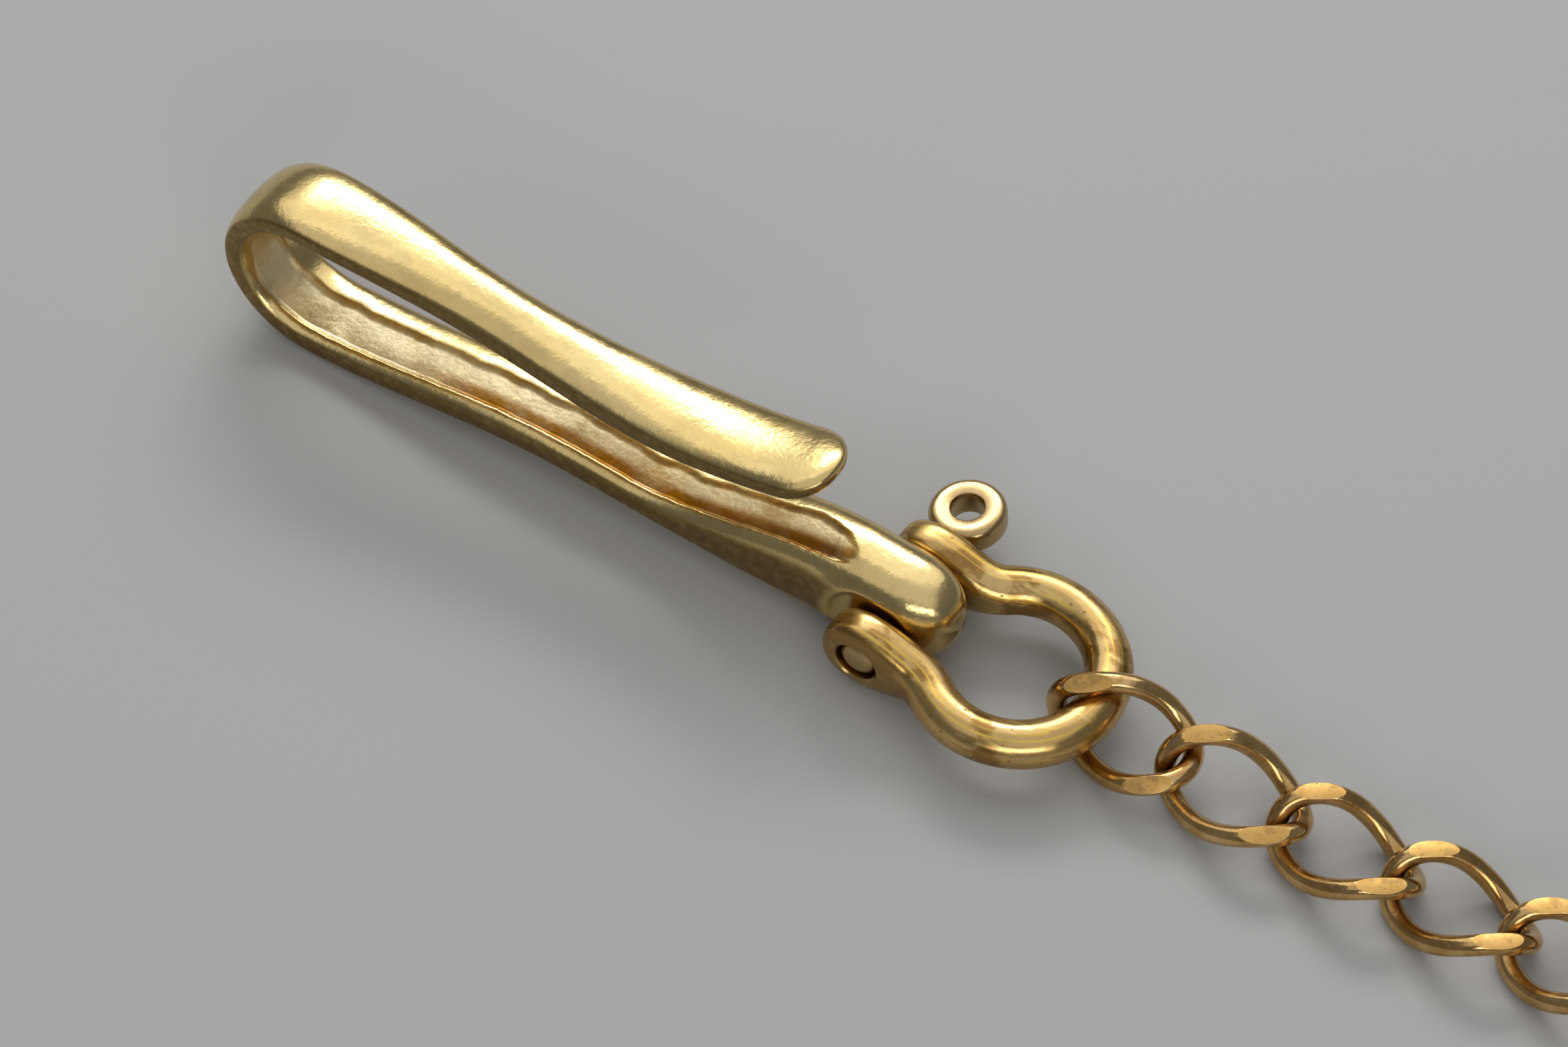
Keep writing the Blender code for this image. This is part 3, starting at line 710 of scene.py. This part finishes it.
def unevenEdge(along, waves):
    # how far a chiselled edge strays: for each wave its height in mm, waves per mm and place in the noise
    return sum(height * noise.noise((scale * along, row, seed)) for height, scale, row, seed in waves) * mm


def channelCutAt(station, across):
    # depth of the channel at this place, as a share, and how much of the painted shade band under its wall is
    # here
    opened = station["channel"]
    if opened <= 0.0:
        return 0.0, 0.0
    along = station["run"] / mm
    near = -station["halfWidth"] + channelCut["nearRail"]
    near += unevenEdge(along, channelCut["nearWaves"])
    start, run = channelCut["widens"]
    far = blend(channelCut["farNarrow"], channelCut["farWide"], (along - start) / run)
    far += unevenEdge(along, channelCut["farWaves"])
    # the end by the lug is a rounded point that lies towards the near rail
    middle = blend(near + channelCut["endPlace"], 0.5 * (near + far), opened)
    shut = roundOff(1.0 - min(opened * channelCut["endOpening"], 1.0), 2.0)
    near = middle + (near - middle) * shut
    far = middle + (far - middle) * shut
    if far - near < channelCut["narrowest"]:
        return 0.0, 0.0
    share = (across - near) / (far - near)
    if share <= 0.0 or share >= 1.0:
        return 0.0, 0.0
    wall = smoothStep(share / channelCut["wall"])
    # the far side is a clear step at both ends, and only a slope between them
    falls, fallStart, fallRun = channelCut["stepFalls"]
    returns, returnStart, returnRun = channelCut["stepReturns"]
    step = channelCut["farStep"] - falls * rising(along, fallStart, fallRun)
    step += returns * rising(along, returnStart, returnRun)
    rise = (step + (1.0 - step) * (1.0 - share)) * smoothStep((1.0 - share) / channelCut["farWall"])
    depth = wall * rise * min(1.0, channelCut["endDepth"] * opened) * shut
    return depth, 1.0 - rising(share, *channelCut["underWall"])


def hookAcross(station, around):
    return sectionPoint(around, station["halfWidth"], station["halfHeight"], station["squareness"])


def onUpperFace(station, up):
    return up >= channelCut["upperFace"] * station["halfHeight"]


def channelMask(station, around):
    across, up = hookAcross(station, around)
    depth = channelCutAt(station, across)[0]
    return min(1.0, channelCut["floorEdge"] * depth) if onUpperFace(station, up) else 0.0


def paintedWallShadeMask(station, around):
    # painted shade and orange reflection at the bottom of the channel, under its steep wall
    across, up = hookAcross(station, around)
    depth, shadeBand = channelCutAt(station, across)
    onArm = rising(station["centre"][0] + hook["armLength"], *channelCut["shadeBandStarts"])
    return min(1.0, channelCut["shadeBandEdge"] * depth) * shadeBand * onArm if onUpperFace(station, up) else 0.0


castingSkinAndShade = {
    "side": (0.90, 0.08),          # shares of the half width at which it starts and comes in over
    "level": (0.78, 0.20),         # and of the half height, where it goes out
    "seatReach": (6.2 * mm, 1.2 * mm),
}


def skinAndShadeMask(station, around):
    # the two sides keep their casting skin, made darker with painted shade
    across, up = hookAcross(station, around)
    side = rising(outFrom(abs(across), station["halfWidth"]), *castingSkinAndShade["side"])
    level = 1.0 - rising(outFrom(abs(up), station["halfHeight"]), *castingSkinAndShade["level"])
    reach = math.hypot(station["centre"][0], station["centre"][1] + up - pinAxis.z)
    return side * level * rising(reach, *castingSkinAndShade["seatReach"])


seat = {
    "floor": 5.15 * mm,            # radius of the flat floor that an ear turns on
    "lip": 6.5 * mm,               # radius at which the scoop runs out
    "rise": 1.0 * mm,
    "shoulder": 0.28 * mm,         # raised edge round the seat, on the arm's side
    "shoulderAt": 7.0 * mm,
    "shoulderWidth": 1.6 * mm,
    "shoulderTurn": (92.0, 30.0),  # degrees from the nose at which it starts, and comes in over
    "flank": (0.70, 0.25),         # the same as shares of the lug's half width
    "flankTop": (0.45, 0.35),      # and of its half height, where it goes out
}


def seatedAcross(station, x, z, across, up):
    # the two scooped seats that the shackle's ears turn on, with their raised shoulder
    reach = math.hypot(x, z - pinAxis.z)
    behind = rising(math.degrees(abs(math.atan2(z - pinAxis.z, x))), *seat["shoulderTurn"])
    ridge = math.exp(-((reach - seat["shoulderAt"]) / seat["shoulderWidth"]) ** 2)
    flank = rising(abs(across) / hook["lugHalf"], *seat["flank"])
    flank *= 1.0 - rising(outFrom(abs(up), station["halfHeight"]), *seat["flankTop"])
    across += math.copysign(seat["shoulder"] * behind * ridge * flank, across)
    scoop = (reach - seat["floor"]) / (seat["lip"] - seat["floor"])
    if scoop < 1.0:
        limit = hook["lugSeat"] + seat["rise"] * max(scoop, 0.0) ** 2
        across = min(max(across, -limit), limit)
    return across


def hookPoint(station, around):
    across, up = hookAcross(station, around)
    if onUpperFace(station, up):
        depth = channelCutAt(station, across)[0]
        dents, scale, row = channelCut["floorDents"]
        dent = dents * noise.noise((scale * station["run"] / mm, scale * across / mm, row))
        up -= depth * channelCut["depth"] * (channelCut["floorLevel"] + dent)
    else:
        up *= 1.0 - station["crown"] * outFrom(across, station["halfWidth"]) ** 2
    x = station["centre"][0] + station["inward"][0] * up
    z = station["centre"][1] + station["inward"][1] * up
    return Vector((pinAxis.x + x, pinAxis.y + seatedAcross(station, x, z, across, up), z))


def hookBore():
    # a cylinder along Y about the hook's pin
    bm = bmesh.new()
    matrix = Matrix.Translation(pinAxis) @ Matrix.Rotation(math.radians(90), 4, "X")
    radius = hook["boreRadius"]
    bmesh.ops.create_cone(bm, cap_ends=True, segments=hook["boreSides"], radius1=radius, radius2=radius,
                          depth=2 * hook["boreHalf"], matrix=matrix)
    return meshFrom(bm, "hookBore")


def makeHook():
    masks = {"channel": channelMask, "paintedWallShade": paintedWallShadeMask, "skinAndShade": skinAndShadeMask}
    bm = sweep(hookStations(), hook["sides"], hookPoint, crowding=hook["crowding"], masks=masks)
    mesh = cutWith(meshFrom(bm, "fishHookShape"), hookBore(), "fishHookBored")
    shadeMesh(mesh, hook["sharpAngle"])
    newPiece("fishHook", mesh, [castBrass], "hook", "fish_hook")


makeHook()
print("fish hook made")


# Bow shackle: drawn about its own pin, bow towards +X, then placed by a matrix

shackle = {
    "wire": 2.55 * mm,             # radius
    "bowRadius": 9.6 * mm,
    "bowCentre": 14.0 * mm,
    "neckRadius": 6.0 * mm,
    "earRadius": 4.5 * mm,
    "earInside": 4.6 * mm,
    "earThickness": 4.5 * mm,
    "earTaper": 9.0 * mm,
    "earSquare": 3.4,              # of the section: 2 is an ellipse, more is squarer
    "earEdge": 4.0,
    "flat": 0.08,                  # how far the ear's inner face is filed down
    "flatFades": (5.0 * mm, 9.0 * mm),     # along the neck: from where, and over how much
    "faceEdge": (0.9 * mm, 0.6 * mm),      # depth at which the painted shade on the outer face ends, and its blur
    "faceFades": (3.5 * mm, 5.0 * mm),
    "boreRadius": 2.4 * mm,
    "boreSides": 64,
    "rimChamfer": 0.18 * mm,
    "rimInset": 0.1 * mm,          # the ears' faces are a little rounded there
    "sharpAngle": 35.0,
    "sides": 48,
    "earSteps": 20,
    "shankSteps": 8,
    "neckSteps": 16,
    "bowSteps": 40,
}


def shackleStations():
    # x, y and heading of one half, from the ear's end to the middle of the bow, and then the other half
    middle = shackle["earInside"] + 0.5 * shackle["earThickness"]
    between = shackle["bowRadius"] + shackle["neckRadius"]
    neckStart = shackle["bowCentre"] - math.sqrt(between ** 2 - (middle + shackle["neckRadius"]) ** 2)
    swing = math.acos((middle + shackle["neckRadius"]) / between)
    half = [(-shackle["earRadius"] * share, middle, 0.0) for share in reversed(tipSteps(shackle["earSteps"]))]
    for index in range(shackle["shankSteps"] + 1):
        half.append((neckStart * index / shackle["shankSteps"], middle, 0.0))
    for index in range(1, shackle["neckSteps"] + 1):
        angle = swing * index / shackle["neckSteps"]
        half.append((neckStart + shackle["neckRadius"] * math.sin(angle),
                     middle + shackle["neckRadius"] * (1.0 - math.cos(angle)), angle))
    for index in range(1, shackle["bowSteps"] + 1):
        angle = swing - (swing + 0.5 * math.pi) * index / shackle["bowSteps"]
        half.append((shackle["bowCentre"] - shackle["bowRadius"] * math.sin(angle),
                     shackle["bowRadius"] * math.cos(angle), angle))
    stations = [{"x": x, "y": y, "angle": angle, "side": 1.0} for x, y, angle in half]
    stations += [{"x": x, "y": y, "angle": angle, "side": -1.0} for x, y, angle in reversed(half[:-1])]
    return stations


def shacklePoint(station, around):
    x = station["x"]
    wire = shackle["wire"]
    earHalf = 0.5 * shackle["earThickness"]
    if x < 0:
        share = -x / shackle["earRadius"]
        halfWide = earHalf * roundOff(share, shackle["earEdge"])
        halfHigh = shackle["earRadius"] * roundOff(share, 2.0)
        squareness = shackle["earSquare"]
        flat = 1.0
    else:
        share = x / shackle["earTaper"]
        halfWide = blend(earHalf, wire, share)
        halfHigh = blend(shackle["earRadius"], wire, share)
        squareness = blend(shackle["earSquare"], 2.0, share)
        flat = 1.0 - rising(x, *shackle["flatFades"])
    across, up = sectionPoint(around, halfWide, halfHigh, squareness)
    # the ear's inner face is filed flat, and the flat runs out along the neck
    if across < 0:
        across = max(across * (1.0 + shackle["flat"] * flat), -halfWide)
    outX = x - across * math.sin(station["angle"])
    outY = station["y"] + across * math.cos(station["angle"])
    return Vector((outX, outY * station["side"], up))


def wayRound(station, around):
    # how far round the wire a point lies, for the lines that its drawing left
    return abs(around)


def flaredBore(name):
    # a cutter along Y with a small chamfer where it leaves each ear
    outside = shackle["earInside"] + shackle["earThickness"] - shackle["rimInset"]
    rim = shackle["rimChamfer"]
    radius = shackle["boreRadius"]
    wide = radius + 2 * rim + outside
    bm = spinProfile([(0, -2 * outside), (wide, -2 * outside), (radius, -outside + rim),
                      (radius, outside - rim), (wide, 2 * outside), (0, 2 * outside)],
                     shackle["boreSides"])
    bmesh.ops.rotate(bm, verts=bm.verts, cent=(0, 0, 0), matrix=Matrix.Rotation(math.radians(90), 3, "X"))
    return meshFrom(bm, name)


def earFaceShadeAt(point):
    # 1 on the outer face of either ear, where the painted shade goes, fading out along its neck
    depth, edge = shackle["faceEdge"]
    side = abs(point.y) - shackle["earInside"] - shackle["earThickness"]
    return rising(side, -depth, edge) * (1.0 - rising(point.x, *shackle["faceFades"]))


def makeShackle(name, matrix, body, node):
    bm = sweep(shackleStations(), shackle["sides"], shacklePoint, masks={"drawn": wayRound})
    mesh = cutWith(meshFrom(bm, name + "Shape"), flaredBore(name + "Bore"), name + "Bored")
    paintMask(mesh, "earFaceShade", earFaceShadeAt)
    mesh.transform(matrix)
    shadeMesh(mesh, shackle["sharpAngle"])
    newPiece(name, mesh, [wireBrass], body, node)


# Shackle pin: turned shank, threaded end with a domed tip, and the eye

pin = {
    "radius": 2.1 * mm,
    "rootRadius": 1.8 * mm,        # bottom of the thread
    "collarRadius": 2.05 * mm,     # between the thread and the dome
    "collarLength": 0.5 * mm,
    "threadPitch": 0.7 * mm,
    "threadLength": 4.0 * mm,
    "threadEnds": (0.25 * mm, 0.15 * mm),  # slopes down to the root, and up to the collar
    "ridgeInset": 0.5 * mm,        # bare root at either end of the thread
    "ridgeSink": 0.1 * mm,
    "ridgeHalf": 0.3,              # share of the pitch
    "tip": 9.0 * mm,               # how far the tip lies from the middle of the shackle
    "dome": 0.9 * mm,
    "domeSteps": 8,
    "eyeCentre": 13.6 * mm,
    "eyeOuter": 4.2 * mm,
    "eyeInner": 1.8 * mm,
    "eyeHalf": 1.6 * mm,           # half its thickness
    "eyeRound": 0.95 * mm,
    "eyeEdge": [(0, 0.3), (0.08, 0.1), (0.28, 0)],   # mm out from the hole, mm below the face
    "eyeLean": -9.0,
    "neck": [(0, 1.2), (1.0, 1.2), (1.5, 0.8), (1.9, 0.3), (2.1, -0.1)],   # mm radius, mm into the eye
    "sharpAngle": 40.0,
    "turnSteps": 40,
    "roundSteps": 8,
    "shankSides": 56,
    "eyeSides": 72,
}


def pinShank(threadStart, threadEnd, collar):
    root = pin["eyeCentre"] - pin["eyeOuter"]
    runIn, runOut = pin["threadEnds"]
    profile = [(radius * mm, root + height * mm) for radius, height in pin["neck"]]
    profile += [(pin["radius"], -threadStart), (pin["rootRadius"], -threadStart - runIn),
                (pin["rootRadius"], -threadEnd), (pin["collarRadius"], -threadEnd - runOut),
                (pin["collarRadius"], -collar)]
    for index in range(1, pin["domeSteps"] + 1):
        angle = 0.5 * math.pi * index / pin["domeSteps"]
        height = (pin["tip"] - collar) * math.sin(angle)
        profile.append((pin["collarRadius"] * math.cos(angle), -collar - height))
    return spinProfile(profile, pin["shankSides"])


def threadRidge(threadStart):
    # a ridge wound round the root
    ridge = bmesh.new()
    half = pin["ridgeHalf"] * pin["threadPitch"]
    foot = pin["rootRadius"] - pin["ridgeSink"]
    base = -threadStart - pin["ridgeInset"]
    corners = [(foot, base + half), (pin["radius"], base), (foot, base - half)]
    verts = [ridge.verts.new((radius, 0, height)) for radius, height in corners]
    for first, second in zip(verts, verts[1:] + verts[:1]):
        ridge.edges.new((first, second))
    turns = (pin["threadLength"] - 2 * pin["ridgeInset"]) / pin["threadPitch"]
    steps = int(turns * pin["turnSteps"])
    bmesh.ops.spin(ridge, geom=ridge.verts[:] + ridge.edges[:], cent=(0, 0, 0), axis=(0, 0, 1),
                   angle=2 * math.pi * turns, dvec=(0, 0, -turns * pin["threadPitch"] / steps), steps=steps,
                   use_merge=False, use_normal_flip=False)
    bmesh.ops.holes_fill(ridge, edges=[edge for edge in ridge.edges if edge.is_boundary], sides=4)
    bmesh.ops.recalc_face_normals(ridge, faces=ridge.faces)
    return ridge


def pinEye():
    # a rounded ring, leaning back
    out = pin["eyeOuter"] - pin["eyeRound"]
    top = pin["eyeHalf"] - pin["eyeRound"]
    inner = pin["eyeInner"]
    upper = [(inner + across * mm, pin["eyeHalf"] - below * mm) for across, below in pin["eyeEdge"]]
    lower = [(radius, -height) for radius, height in reversed(upper)]
    rim = arc((out, top), pin["eyeRound"], 90, 0, pin["roundSteps"])
    rim += arc((out, -top), pin["eyeRound"], 0, -90, pin["roundSteps"])
    eye = spinProfile(lower[-1:] + upper + rim + lower, pin["eyeSides"])
    lean = Matrix.Rotation(math.radians(pin["eyeLean"]), 4, "Y")
    bmesh.ops.transform(eye, verts=eye.verts, matrix=Matrix.Translation((0, pin["eyeCentre"], 0)) @ lean)
    return eye


def makePin(name, matrix, body, node):
    # the shank is turned about Z and then laid along Y, tip towards -Y
    collar = pin["tip"] - pin["dome"]
    threadEnd = collar - pin["collarLength"]
    threadStart = threadEnd - pin["threadLength"]
    bm = pinShank(threadStart, threadEnd, collar)
    addShape(bm, threadRidge(threadStart), name + "Thread")
    bmesh.ops.rotate(bm, verts=bm.verts, cent=(0, 0, 0), matrix=Matrix.Rotation(math.radians(-90), 3, "X"))
    addShape(bm, pinEye(), name + "Eye")
    bmesh.ops.transform(bm, verts=bm.verts, matrix=matrix)
    mesh = meshFrom(bm, name)
    shadeMesh(mesh, pin["sharpAngle"])
    newPiece(name, mesh, [turnedBrass], body, node)


def axisMatrix(position, alongBow, alongPin):
    upward = Vector(alongBow).cross(Vector(alongPin))
    turned = Matrix((Vector(alongBow), Vector(alongPin), upward)).transposed()
    return Matrix.Translation(position) @ turned.to_4x4()


hookEnd = axisMatrix(pinAxis, (1, 0, 0), (0, 1, 0))
makeShackle("bowShackle", hookEnd, "shackle", "shackle")
makePin("hookPin", hookEnd, "pin", "shackle_pin")

walletPinAlong = Vector(joints["wallet_pin_unscrew"]["axis"]).normalized()
walletBowAlong = walletPinAlong.cross(Vector((0, 0, 1)))
walletBow = Vector(joints["wallet_shackle_swing"]["pos_m"])
walletPin = walletBow - walletBowAlong * (shackle["bowCentre"] + shackle["bowRadius"])
walletEnd = axisMatrix(walletPin, walletBowAlong, walletPinAlong)
makeShackle("walletShackle", walletEnd, "wallet_shackle", "wallet_shackle")
makePin("walletPin", walletEnd, "wallet_pin", "wallet_shackle_pin")
print("shackles and pins made")


# Curb chain: one twisted and filed link, set at every link's place

link = {
    "wire": 1.1 * mm,              # radius
    "halfLength": 7.65 * mm,       # to the middle of the wire
    "halfWidth": 4.9 * mm,
    "twist": 90.0,
    "ease": 0.25,                  # how much more of the twist lies in the middle
    "oval": 2.2,
    "filedAt": 2.73 * mm,          # from the link's middle plane to a filed flat
    "filedEdge": 0.05 * mm,
    "pitch": 12.8 * mm,
    "roll": {1: 42.0, 2: 17.0, 3: 3.0, 26: -3.0, 27: -17.0, 28: -42.0},
    "recessEnds": (3.0 * mm, 3.5 * mm),    # from the middle: where the darkening at the ends starts, and over how much
    "recessLength": 7.85 * mm,
    "recessStarts": 0.35,
    "recessShares": (0.8, 0.45),           # at the two ends, and all along the inner side
    "sharpAngle": 30.0,
    "sides": 22,
    "steps": 84,
}


def linkCentre(angle):
    # middle of the wire, and the direction in which the link is flat there
    c = math.cos(angle)
    s = math.sin(angle)
    x = link["halfLength"] * math.copysign(abs(c) ** (2.0 / link["oval"]), c)
    y = link["halfWidth"] * math.copysign(abs(s) ** (2.0 / link["oval"]), s)
    along = x / link["halfLength"]
    turn = -0.5 * math.radians(link["twist"]) * (along + link["ease"] * along * (1.0 - along * along))
    return Vector((x, y * math.cos(turn), y * math.sin(turn))), Vector((0, -math.sin(turn), math.cos(turn)))


def linkPoint(angle, around):
    centre, flat = linkCentre(angle)
    nudge = 0.01                   # radians, to find the wire's direction
    ahead = (linkCentre(angle + nudge)[0] - linkCentre(angle - nudge)[0]).normalized()
    outward = ahead.cross(flat).normalized()
    upward = outward.cross(ahead)
    return centre + link["wire"] * (math.cos(around) * outward + math.sin(around) * upward)


def linkMesh():
    stations = [2 * math.pi * index / link["steps"] for index in range(link["steps"])] + [0.0]
    bm = sweep(stations, link["sides"], linkPoint, closed=True)
    for side in (-1, 1):
        level = (0, 0, side * link["filedAt"])
        everything = bm.verts[:] + bm.edges[:] + bm.faces[:]
        bmesh.ops.bisect_plane(bm, geom=everything, plane_co=level, plane_no=(0, 0, side), clear_outer=True)
        rim = [edge for edge in bm.edges if edge.is_boundary]
        for face in bmesh.ops.edgeloop_fill(bm, edges=rim)["faces"]:
            face.material_index = 1
    bmesh.ops.recalc_face_normals(bm, faces=bm.faces)
    rims = [edge for edge in bm.edges if {face.material_index for face in edge.link_faces} == {0, 1}]
    bmesh.ops.bevel(bm, geom=rims, affect="EDGES", offset=link["filedEdge"], segments=2, profile=0.5,
                    material=-1, clamp_overlap=True)
    mesh = meshFrom(bm, "curbLink")
    shadeMesh(mesh, link["sharpAngle"])
    return mesh


def recessTarnishAndShadeAt(point):
    # tarnish where the links rub least, with painted shade where they cross: darker on the inner side, and
    # most at the two ends
    radial = math.hypot(point.y, point.z)
    outward = (abs(point.x) / link["recessLength"]) ** 2 + (radial / link["halfWidth"]) ** 2
    inner = 1.0 - smoothStep(outward - link["recessStarts"])
    ends, allAlong = link["recessShares"]
    return min(1.0, ends * inner * rising(abs(point.x), *link["recessEnds"]) + allAlong * inner)


def crossingAfter(number):
    # joints from one link to the next, and the last one to the wallet's shackle
    for name in (f"link_{number + 1:02d}_yaw", f"link_{number + 1:02d}_pitch", "wallet_shackle_swing"):
        if name in joints:
            return Vector(joints[name]["pos_m"])


def makeChain():
    linkCount = sum(node.startswith("link_") for node in frame["nodes"])
    base = linkMesh()
    paintMask(base, "recessTarnishAndShade", recessTarnishAndShadeAt)
    before = Vector(joints["link_01_swing"]["pos_m"])
    for number in range(1, linkCount + 1):
        after = crossingAfter(number)
        run = (after - before).normalized()
        middle = after - 0.5 * link["pitch"] * run if number == 1 else before + 0.5 * link["pitch"] * run
        heading = Matrix.Rotation(math.atan2(run.y, run.x), 4, "Z")
        slope = Matrix.Rotation(-math.asin(run.z), 4, "Y")
        roll = Matrix.Rotation(math.radians(link["roll"].get(number, 0.0)), 4, "X")
        mesh = base.copy()
        mesh.transform(Matrix.Translation(middle) @ heading @ slope @ roll)
        name = f"link_{number:02d}"
        newPiece(f"curbLink{number:02d}", mesh, [chainBrass, filedBrass], name, name)
        before = after
    bpy.data.meshes.remove(base)


makeChain()
print("chain made")


# Floor, light and world

studio = {
    "floorColour": (0.42, 0.415, 0.40),
    "floorRoughness": 0.75,
    "floorSize": 3.0,              # metres from the middle to its edge
    "worldColour": (0.17, 0.172, 0.18),
    "lamps": [
        # name, where it stands from the pin, width, height, power
        ("skyLamp", (-0.31, 0.53, 0.73), 1.60, 0.80, 4.2),
        ("ceilingLamp", (0.08, -0.18, 0.94), 1.60, 1.20, 3.3),
        ("windowLamp", (-0.38, 0.66, 0.64), 0.60, 0.22, 3.0),
        ("lowLamp", (0.52, -0.70, 0.44), 0.80, 0.26, 2.4),
    ],
}


def makeFloor():
    bm = bmesh.new()
    bmesh.ops.create_grid(bm, x_segments=1, y_segments=1, size=studio["floorSize"])
    mesh = meshFrom(bm, "floor")
    floor = addObject("floor", mesh)
    paint = bpy.data.materials.new("floorPaint")
    paint.use_nodes = True
    shader = paint.node_tree.nodes["Principled BSDF"]
    shader.inputs["Base Color"].default_value = (*studio["floorColour"], 1.0)
    shader.inputs["Roughness"].default_value = studio["floorRoughness"]
    mesh.materials.append(paint)


def makeLight():
    world = bpy.data.worlds.new("studioWorld")
    bpy.context.scene.world = world
    world.use_nodes = True
    world.node_tree.nodes["Background"].inputs["Color"].default_value = (*studio["worldColour"], 1.0)
    for name, spot, wide, high, power in studio["lamps"]:
        data = bpy.data.lights.new(name, "AREA")
        data.shape = "RECTANGLE"
        data.size = wide
        data.size_y = high
        data.energy = power
        lamp = addObject(name, data)
        lamp.location = pinAxis + Vector(spot)
        lamp.rotation_mode = "QUATERNION"
        lamp.rotation_quaternion = (-Vector(spot)).to_track_quat("-Z", "Y")


makeFloor()
makeLight()
bpy.context.scene.view_settings.view_transform = "Standard"
print("studio made")
